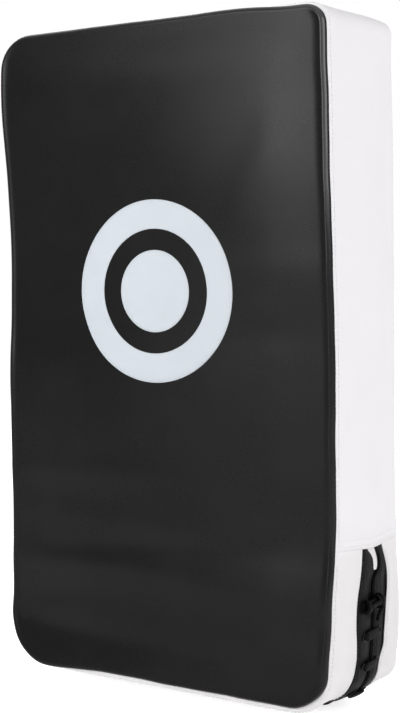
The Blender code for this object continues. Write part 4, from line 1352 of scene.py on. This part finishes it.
def makePile(name, node, tree, finish, sizes, body, facing):
    low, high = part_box(node)
    margin, pitch = patch["pileMargin"], sizes["pitch"]
    x, z = [grid.ravel() for grid in np.meshgrid(np.arange(low.x + margin, high.x - margin, pitch),
                                                 np.arange(low.z + margin, high.z - margin, pitch))]
    chance = np.random.default_rng(sizes["seed"])
    x = x + chance.uniform(-0.2, 0.2, len(x)) * pitch
    z = z + chance.uniform(-0.2, 0.2, len(z)) * pitch
    y = np.full(len(x), (high.y if facing > 0 else low.y) - facing * patch["pileRoot"])
    turn = chance.uniform(0, 2 * pi, len(x))
    runs = np.stack([np.cos(turn), 0 * turn, np.sin(turn)], axis=-1)
    rows = [(np.stack([x, y, z], axis=-1), facingY(facing, len(x)))]
    settle(runTree(name, rows, tree, {"Height": sizes["height"], "Finish": finishes[finish]}, runs), body)


# Forearm straps
strap = {
    "halfSpan": 0.072,
    "rise": 0.064,
    "foot": 0.0380,             # length sewn flat on the patch
    "thickness": 0.0038,
    "tailEnd": 0.130,
    "tailRound": 0.010,
    "axisOut": 0.0023,          # the hinge's axis lies this far out from the patch
    "landing": 0.0013,          # the tail lies this far out from the hinge's axis
    # the band's section: distance from its edge, share of its half thickness
    "section": [(0.0, 0.0), (0.0003, 0.55), (0.0011, 0.88), (0.0026, 1.0), (0.0036, 0.80), (0.0046, 1.0),
                (0.0110, 1.05), (0.0250, 1.08)],
    "bend": (-0.0050, 0.0030),  # it bends open between these places beside the hinge's axis
    "edgeRow": 0.0036,          # stitches this far inside the edge
    "innerRow": 0.0045,         # further in at the tail
    "footRow": 0.0016,          # and on the foot, clear of the others when the strap lies back on it
    "boxIn": 0.001,
    "footStart": 0.0032,
}


def strapPath(hinge):   # the strap's centre line seen from above, as x, y and the outward direction
    half, rise = strap["halfSpan"], strap["rise"]
    landing = hinge.y + strap["landing"]
    line = [(-half - strap["foot"], hinge.y), (-half - 0.020, hinge.y), (-half - 0.005, hinge.y + 0.0002)]
    for share in np.linspace(0.035, 0.965, 15):
        line.append((2 * half * share - half, hinge.y + 0.0006 + rise * (1 - (2 * share - 1) ** 2)))
    line += [(half + 0.006, landing + 0.0002), (half + 0.022, landing), (strap["tailEnd"], landing)]
    x, y = np.array(line).T
    at = np.concatenate([[0], np.cumsum(np.hypot(np.diff(x), np.diff(y)))])
    run = np.linspace(0, at[-1], 110)
    x, y = [smoothLine(list(zip(at, values)), run) for values in (x, y)]
    alongX, alongY = np.gradient(x), np.gradient(y)
    size = np.hypot(alongX, alongY)
    return x, y, -alongY / size, alongX / size, run


def makeBand(name, joint, halfWidth, path):
    x, y, outX, outY, run = path
    half = [(halfWidth - distance, share) for distance, share in strap["section"]]
    outer = half + [(-across, share) for across, share in half[-2::-1]]
    across, up = np.array(outer + [(across, -share) for across, share in outer[-2:0:-1]]).T
    thin = 0.55 + 0.45 * softStep(np.minimum(run, run[-1] - run) / 0.0015)
    tail = np.clip(1 - (run[-1] - run) / strap["tailRound"], 0, 1)
    width = halfWidth - strap["tailRound"] * (1 - np.sqrt(1 - tail ** 2 * 0.98))
    lift = strap["thickness"] / 2 * thin[:, None] * up[None]
    points = np.stack([x[:, None] + outX[:, None] * lift, y[:, None] + outY[:, None] * lift,
                       joint.z + width[:, None] * across[None] / halfWidth], axis=-1)
    return closeEnds(gridPiece(name, points, finishes["back"], closed=True), len(across), sharp=60)


def makeStrap(level):
    low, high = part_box("forearm_strap_" + level)
    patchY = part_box("strap_anchor_patch_" + level)[1].y
    joint = Vector((-strap["halfSpan"], patchY + strap["axisOut"], (low.z + high.z) / 2))
    halfWidth = (high.z - low.z) / 2
    path = x, y, outX, outY, run = strapPath(joint)
    band = makeBand("forearm_band_" + level, joint, halfWidth, path)
    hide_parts("forearm_strap_" + level)
    surface = surfaceOf(band)
    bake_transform(band)

    def row(places, heights):   # stitches at distances along the band and heights across it
        at = np.round(np.interp(places, run, np.arange(len(run)))).astype(int)
        outward = np.stack([outX[at], outY[at], 0 * outX[at]], axis=-1)
        middle = np.stack([np.interp(places, run, x), np.interp(places, run, y), joint.z + heights], axis=-1)
        return seat(surface, middle + outward * 0.002, outward, 0.0001), outward

    def longRow(first, last, height):
        places = run[(run > first) & (run < last)]
        return row(places, np.full(len(places), height))

    def crossRow(first, last, start, end):
        return row(np.linspace(first, last, 24), np.linspace(start, end, 24))

    edgeRow = halfWidth - strap["edgeRow"]
    innerRow, footRow = edgeRow - strap["innerRow"], edgeRow - strap["footRow"]
    boxEdge, footStart = footRow - strap["boxIn"], strap["footStart"]
    footEnd = strap["foot"] - 0.009
    tailStart = run[-1] - (strap["tailEnd"] - strap["halfSpan"]) + 0.006
    tailStop = run[-1] - 0.008
    moving = [longRow(strap["foot"] + 0.006, run[-1] - 0.010, hand * edgeRow) for hand in (1, -1)]
    moving += [longRow(tailStart, tailStop, hand * innerRow) for hand in (1, -1)]
    moving += [crossRow(place, place, -innerRow, innerRow) for place in (tailStart, tailStop)]
    fixed = [longRow(0.003, footEnd, hand * footRow) for hand in (1, -1)]
    fixed += [crossRow(place, place, -footRow, footRow) for place in (footStart, footEnd)]
    fixed += [crossRow(footStart, footEnd, -hand * boxEdge, hand * boxEdge) for hand in (1, -1)]
    sewRows("strap_stitches_" + level, moving, "blackThread", body="strap_" + level)
    sewRows("strap_foot_stitches_" + level, fixed, "blackThread")


def makeStrapTape(level):
    loops, hooks = "strap_loop_patch_" + level, "strap_hook_patch_" + level
    moving, corner = "strap_" + level, patch["tapeCorner"]
    makePatch("strap_root_patch_" + level, "strap_anchor_patch_" + level, "back")
    makePatch("loop_tape_" + level, loops, "loop", radius=corner)
    makePatch("hook_tape_" + level, hooks, "hook", moving, corner, facing=-1)
    makePile("loops_" + level, loops, loopTree, "loop", patch["loops"], "root", 1)
    makePile("hooks_" + level, hooks, hookTree, "hook", patch["hooks"], moving, -1)


hookTree = makePileTree("tapeHooks", False)
loopTree = makePileTree("tapeLoops", True)
for level in ("upper", "lower"):
    makeStrap(level)
    makeStrapTape(level)
print("straps made")


# Rolled hand grip
grip = {
    "radius": 0.0155,
    "length": 0.150,
    "endRound": 0.011,
    "opening": 0.0042,          # radius of the hole that is left at each gathered end
    "gathers": 17,
    "gatherDepth": 0.0011,
    "seamDepth": 0.0009,        # of the groove along the long seam
    "finWidth": 0.028,
    "finThickness": 0.0030,
    "finPlace": 0.051,
    "finBend": 0.0060,          # the fins bend over this much of their foot
    "coreGap": 0.0008,
}


def roundPoints(x, size, turns, centre):   # rings of points round the grip's axis
    return np.stack([np.broadcast_to(x[:, None], (len(x), len(turns))), centre.y + size * np.sin(turns)[None],
                     centre.z + size * np.cos(turns)[None]], axis=-1)


def makeGripRoll(centre):
    radius, half, end, opening = grip["radius"], grip["length"] / 2, grip["endRound"], grip["opening"]
    outer = [(half - end + end * cos(turn), opening + (radius - opening) * sin(turn) ** 0.6)
             for turn in np.linspace(0, pi / 2, 9)]
    outer.append((half - end - 0.006, radius * 1.004))
    outer += [(x, radius * 1.006) for x in np.linspace(half - end - 0.014, 0, 9)]
    outer += [(-x, size) for x, size in outer[-2::-1]]
    inner = [(0.0022 - half, opening - 0.0006), (0.0045 - half, opening + 0.002)]
    x, size = np.array(inner[::-1] + outer[::-1] + [(-x, size) for x, size in inner]).T
    size = size[:, None]
    turns = np.linspace(0, 2 * pi, 72, endpoint=False)
    gather = softStep((np.abs(x) - (half - end - 0.006)) / 0.012)[:, None]
    folds = np.cos(grip["gathers"] * turns[None] + 0.8 * np.sin(3 * turns[None]))
    swell = size + grip["gatherDepth"] * gather * (folds - 0.4) * np.clip(size / radius, 0.35, 1)
    swell = swell + 0.00025 * ripples(x[:, None], turns[None] * radius, 0.03, 31)
    seam = bump(turns, 3 * pi / 2, 0.06)[None]   # the long seam faces the pad
    swell = swell - grip["seamDepth"] * seam * (1 - gather)
    points = roundPoints(x, swell, turns, centre)
    roll = turnOutward(gridPiece("grip_roll", points, finishes["back"], closed=True))
    thicken(roll, pad["leather"])
    settle(roll, "grip", "grip_cover")


def makeGripFins(centre, foot):
    reach = centre.y - foot - grip["radius"] + 0.002
    for hand, side in ((-1, "left"), (1, "right")):
        rows = []
        for share in np.linspace(0, 1, 33):
            flare = 2.6 * (1 - softStep(share / 0.10)) + 1.6 * softStep((share - 0.82) / 0.18)
            spread = grip["finThickness"] / 2 * (1 + flare)
            half = grip["finWidth"] / 2 + 0.0015 * softStep((share - 0.8) / 0.2)
            ring = roundedRing(-half, half, -spread, spread, min(spread * 0.9, 0.0013), 0.0, steps=4)
            y = np.full(len(ring), foot + 0.0002 + share * reach)
            rows.append(np.stack([hand * grip["finPlace"] + ring[:, 0], y, centre.z + ring[:, 1]], axis=-1))
        fin = gridPiece("grip_fin_" + side, np.array(rows), finishes["back"], closed=True)
        closeEnds(fin, len(rows[0]), sharp=55)
        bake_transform(fin)


def makeGripCore(centre):
    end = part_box("grip_core")[0].x
    radius = grip["radius"] - pad["leather"] - grip["coreGap"]
    stations = [(end, 0.0004), (end, radius * 0.6), (end + 0.0006, radius * 0.93), (end + 0.0025, radius)]
    stations += [(x, radius) for x in np.linspace(end + 0.01, 0, 5)]
    stations += [(-x, size) for x, size in stations[-2::-1]]
    x, size = np.array(stations).T
    points = roundPoints(x, size[:, None], np.linspace(0, 2 * pi, 32, endpoint=False), centre)
    core = turnOutward(gridPiece("grip_foam_roll", points, finishes["sheetFoam"], closed=True))
    settle(core, "grip", "grip_core")


def makeGrip():
    low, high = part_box("grip_cover")
    centre = Vector((0, high.y - grip["radius"] - 0.0006, (low.z + high.z) / 2))
    makeGripRoll(centre)
    makeGripFins(centre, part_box("grip_anchor_patch_left")[1].y)
    makeGripCore(centre)
    rows = []
    for side in ("left", "right"):
        node = "grip_anchor_patch_" + side
        made = makePatch("grip_patch_" + side, node, "back")
        ring = patchRing(node, patch["corner"], patch["stitchIn"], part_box(node)[1].y)
        ring = np.concatenate([ring, ring[:1]])
        outward = facingY(1, len(ring))
        rows.append((seat(surfaceOf(made), ring, outward), outward))
    sewRows("grip_patch_stitches", rows, "blackThread")


makeGrip()
print("grip made")


# Studio
studio = {
    "cameraPlace": (0.7104, -1.1336, 0.3698),
    "cameraTurn": 32.75,
    "cameraRoll": 0.32,
    "focalPixels": 1389.0,
    "photoSize": (400, 713),
    "horizonRow": 275.6,
    "paper": (tint(0.93), tint(0.95)),
    "paperGlow": 0.70,          # the floor's own light in the camera's view, beside what it reflects
    "floorHalf": 30.0,
    "floorDrop": 0.0126,        # the closure hangs this far under the solids, beside the bottom corners
    "air": 0.30,                # strength of the world's light on the pad
    # place, aim, size and power of each lamp
    "lamps": {
        "keyLamp": ((-0.268, -1.238, 0.608), (0.05, -0.1, 0.40), (0.50, 0.50), 8.7),
        "topLamp": ((-0.360, -1.150, 0.900), (0.00, -0.1, 0.50), (0.75, 0.26), 3.6),
        "lowLamp": ((-0.340, -1.200, 0.220), (0.15, -0.1, 0.22), (0.50, 0.36), 1.0),
        "sideLamp": ((2.05, -0.52, 1.05), (0.1, 0.0, 0.30), (1.5, 1.2), 23.5),
        "rearLamp": ((-1.70, 1.90, 1.40), (0.0, 0.0, 0.30), (1.6, 1.6), 42.0),
    },
}


def seenRays(tree, cameraShare=1.0):   # what the camera sees straight, in a gloss or through something
    path = put(tree, "ShaderNodeLightPath").outputs
    seen = put(tree, "ShaderNodeMath", {"operation": "MULTIPLY"}, {0: path["Is Camera Ray"], 1: cameraShare})
    for kind in ("Is Glossy Ray", "Is Transmission Ray"):
        seen = put(tree, "ShaderNodeMath", {"operation": "MAXIMUM"}, {0: seen, 1: path[kind]})
    return seen


def makeFloor():
    size, level = studio["floorHalf"], cadLow.z - studio["floorDrop"]
    corners = [(x * size, y * size, level) for x, y in ((-1, -1), (1, -1), (1, 1), (-1, 1))]
    paper = Finish("studioPaper")
    paper.shader.inputs["Roughness"].default_value = 0.9
    paper.feed(BaseColor=paper.mixed(paper.noise(3.0, 2.0), *studio["paper"]))
    floor = newPiece("studio_floor", corners, [(0, 1, 2, 3)], paper.material)
    glow = paper.node("ShaderNodeEmission", None,
                      {"Color": (1, 1, 1, 1), "Strength": seenRays(paper.tree, studio["paperGlow"])})
    joined = paper.node("ShaderNodeAddShader", None, {0: paper.shader.outputs[0], 1: glow})
    paper.tree.links.new(joined.socket, paper.tree.nodes["Material Output"].inputs["Surface"])


def makeWorld():
    world = bpy.data.worlds.new("studioAir")
    bpy.context.scene.world = world
    world.use_nodes = True
    tree = world.node_tree
    level = put(tree, "ShaderNodeMapRange", None,
                {"Value": seenRays(tree), "To Min": studio["air"], "To Max": 1.0})
    air = tree.nodes["Background"]
    air.inputs["Color"].default_value = (1, 1, 1, 1)
    tree.links.new(level.outputs[0], air.inputs["Strength"])


def makeLamp(name, place, aim, size, power):
    data = bpy.data.lights.new(name, "AREA")
    data.shape = "RECTANGLE"
    data.size, data.size_y = size
    data.energy = power
    lamp = link(name, data)
    lamp.location = place
    lamp.rotation_euler = (Vector(place) - Vector(aim)).to_track_quat("Z", "Y").to_euler()


def makeCamera():
    data = bpy.data.cameras.new("camera")
    high = studio["photoSize"][1]
    data.sensor_width = 36.0
    data.lens = studio["focalPixels"] / high * data.sensor_width
    data.shift_y = (studio["horizonRow"] - high / 2) / high
    data.clip_end = 100.0
    camera = link("camera", data)
    camera.location = studio["cameraPlace"]
    camera.rotation_euler = (pi / 2, radians(studio["cameraRoll"]), radians(studio["cameraTurn"]))
    bpy.context.scene.camera = camera


makeFloor()
makeWorld()
for name, values in studio["lamps"].items():
    makeLamp(name, *values)
makeCamera()
bpy.context.scene.view_settings.view_transform = "Standard"
print("studio made")
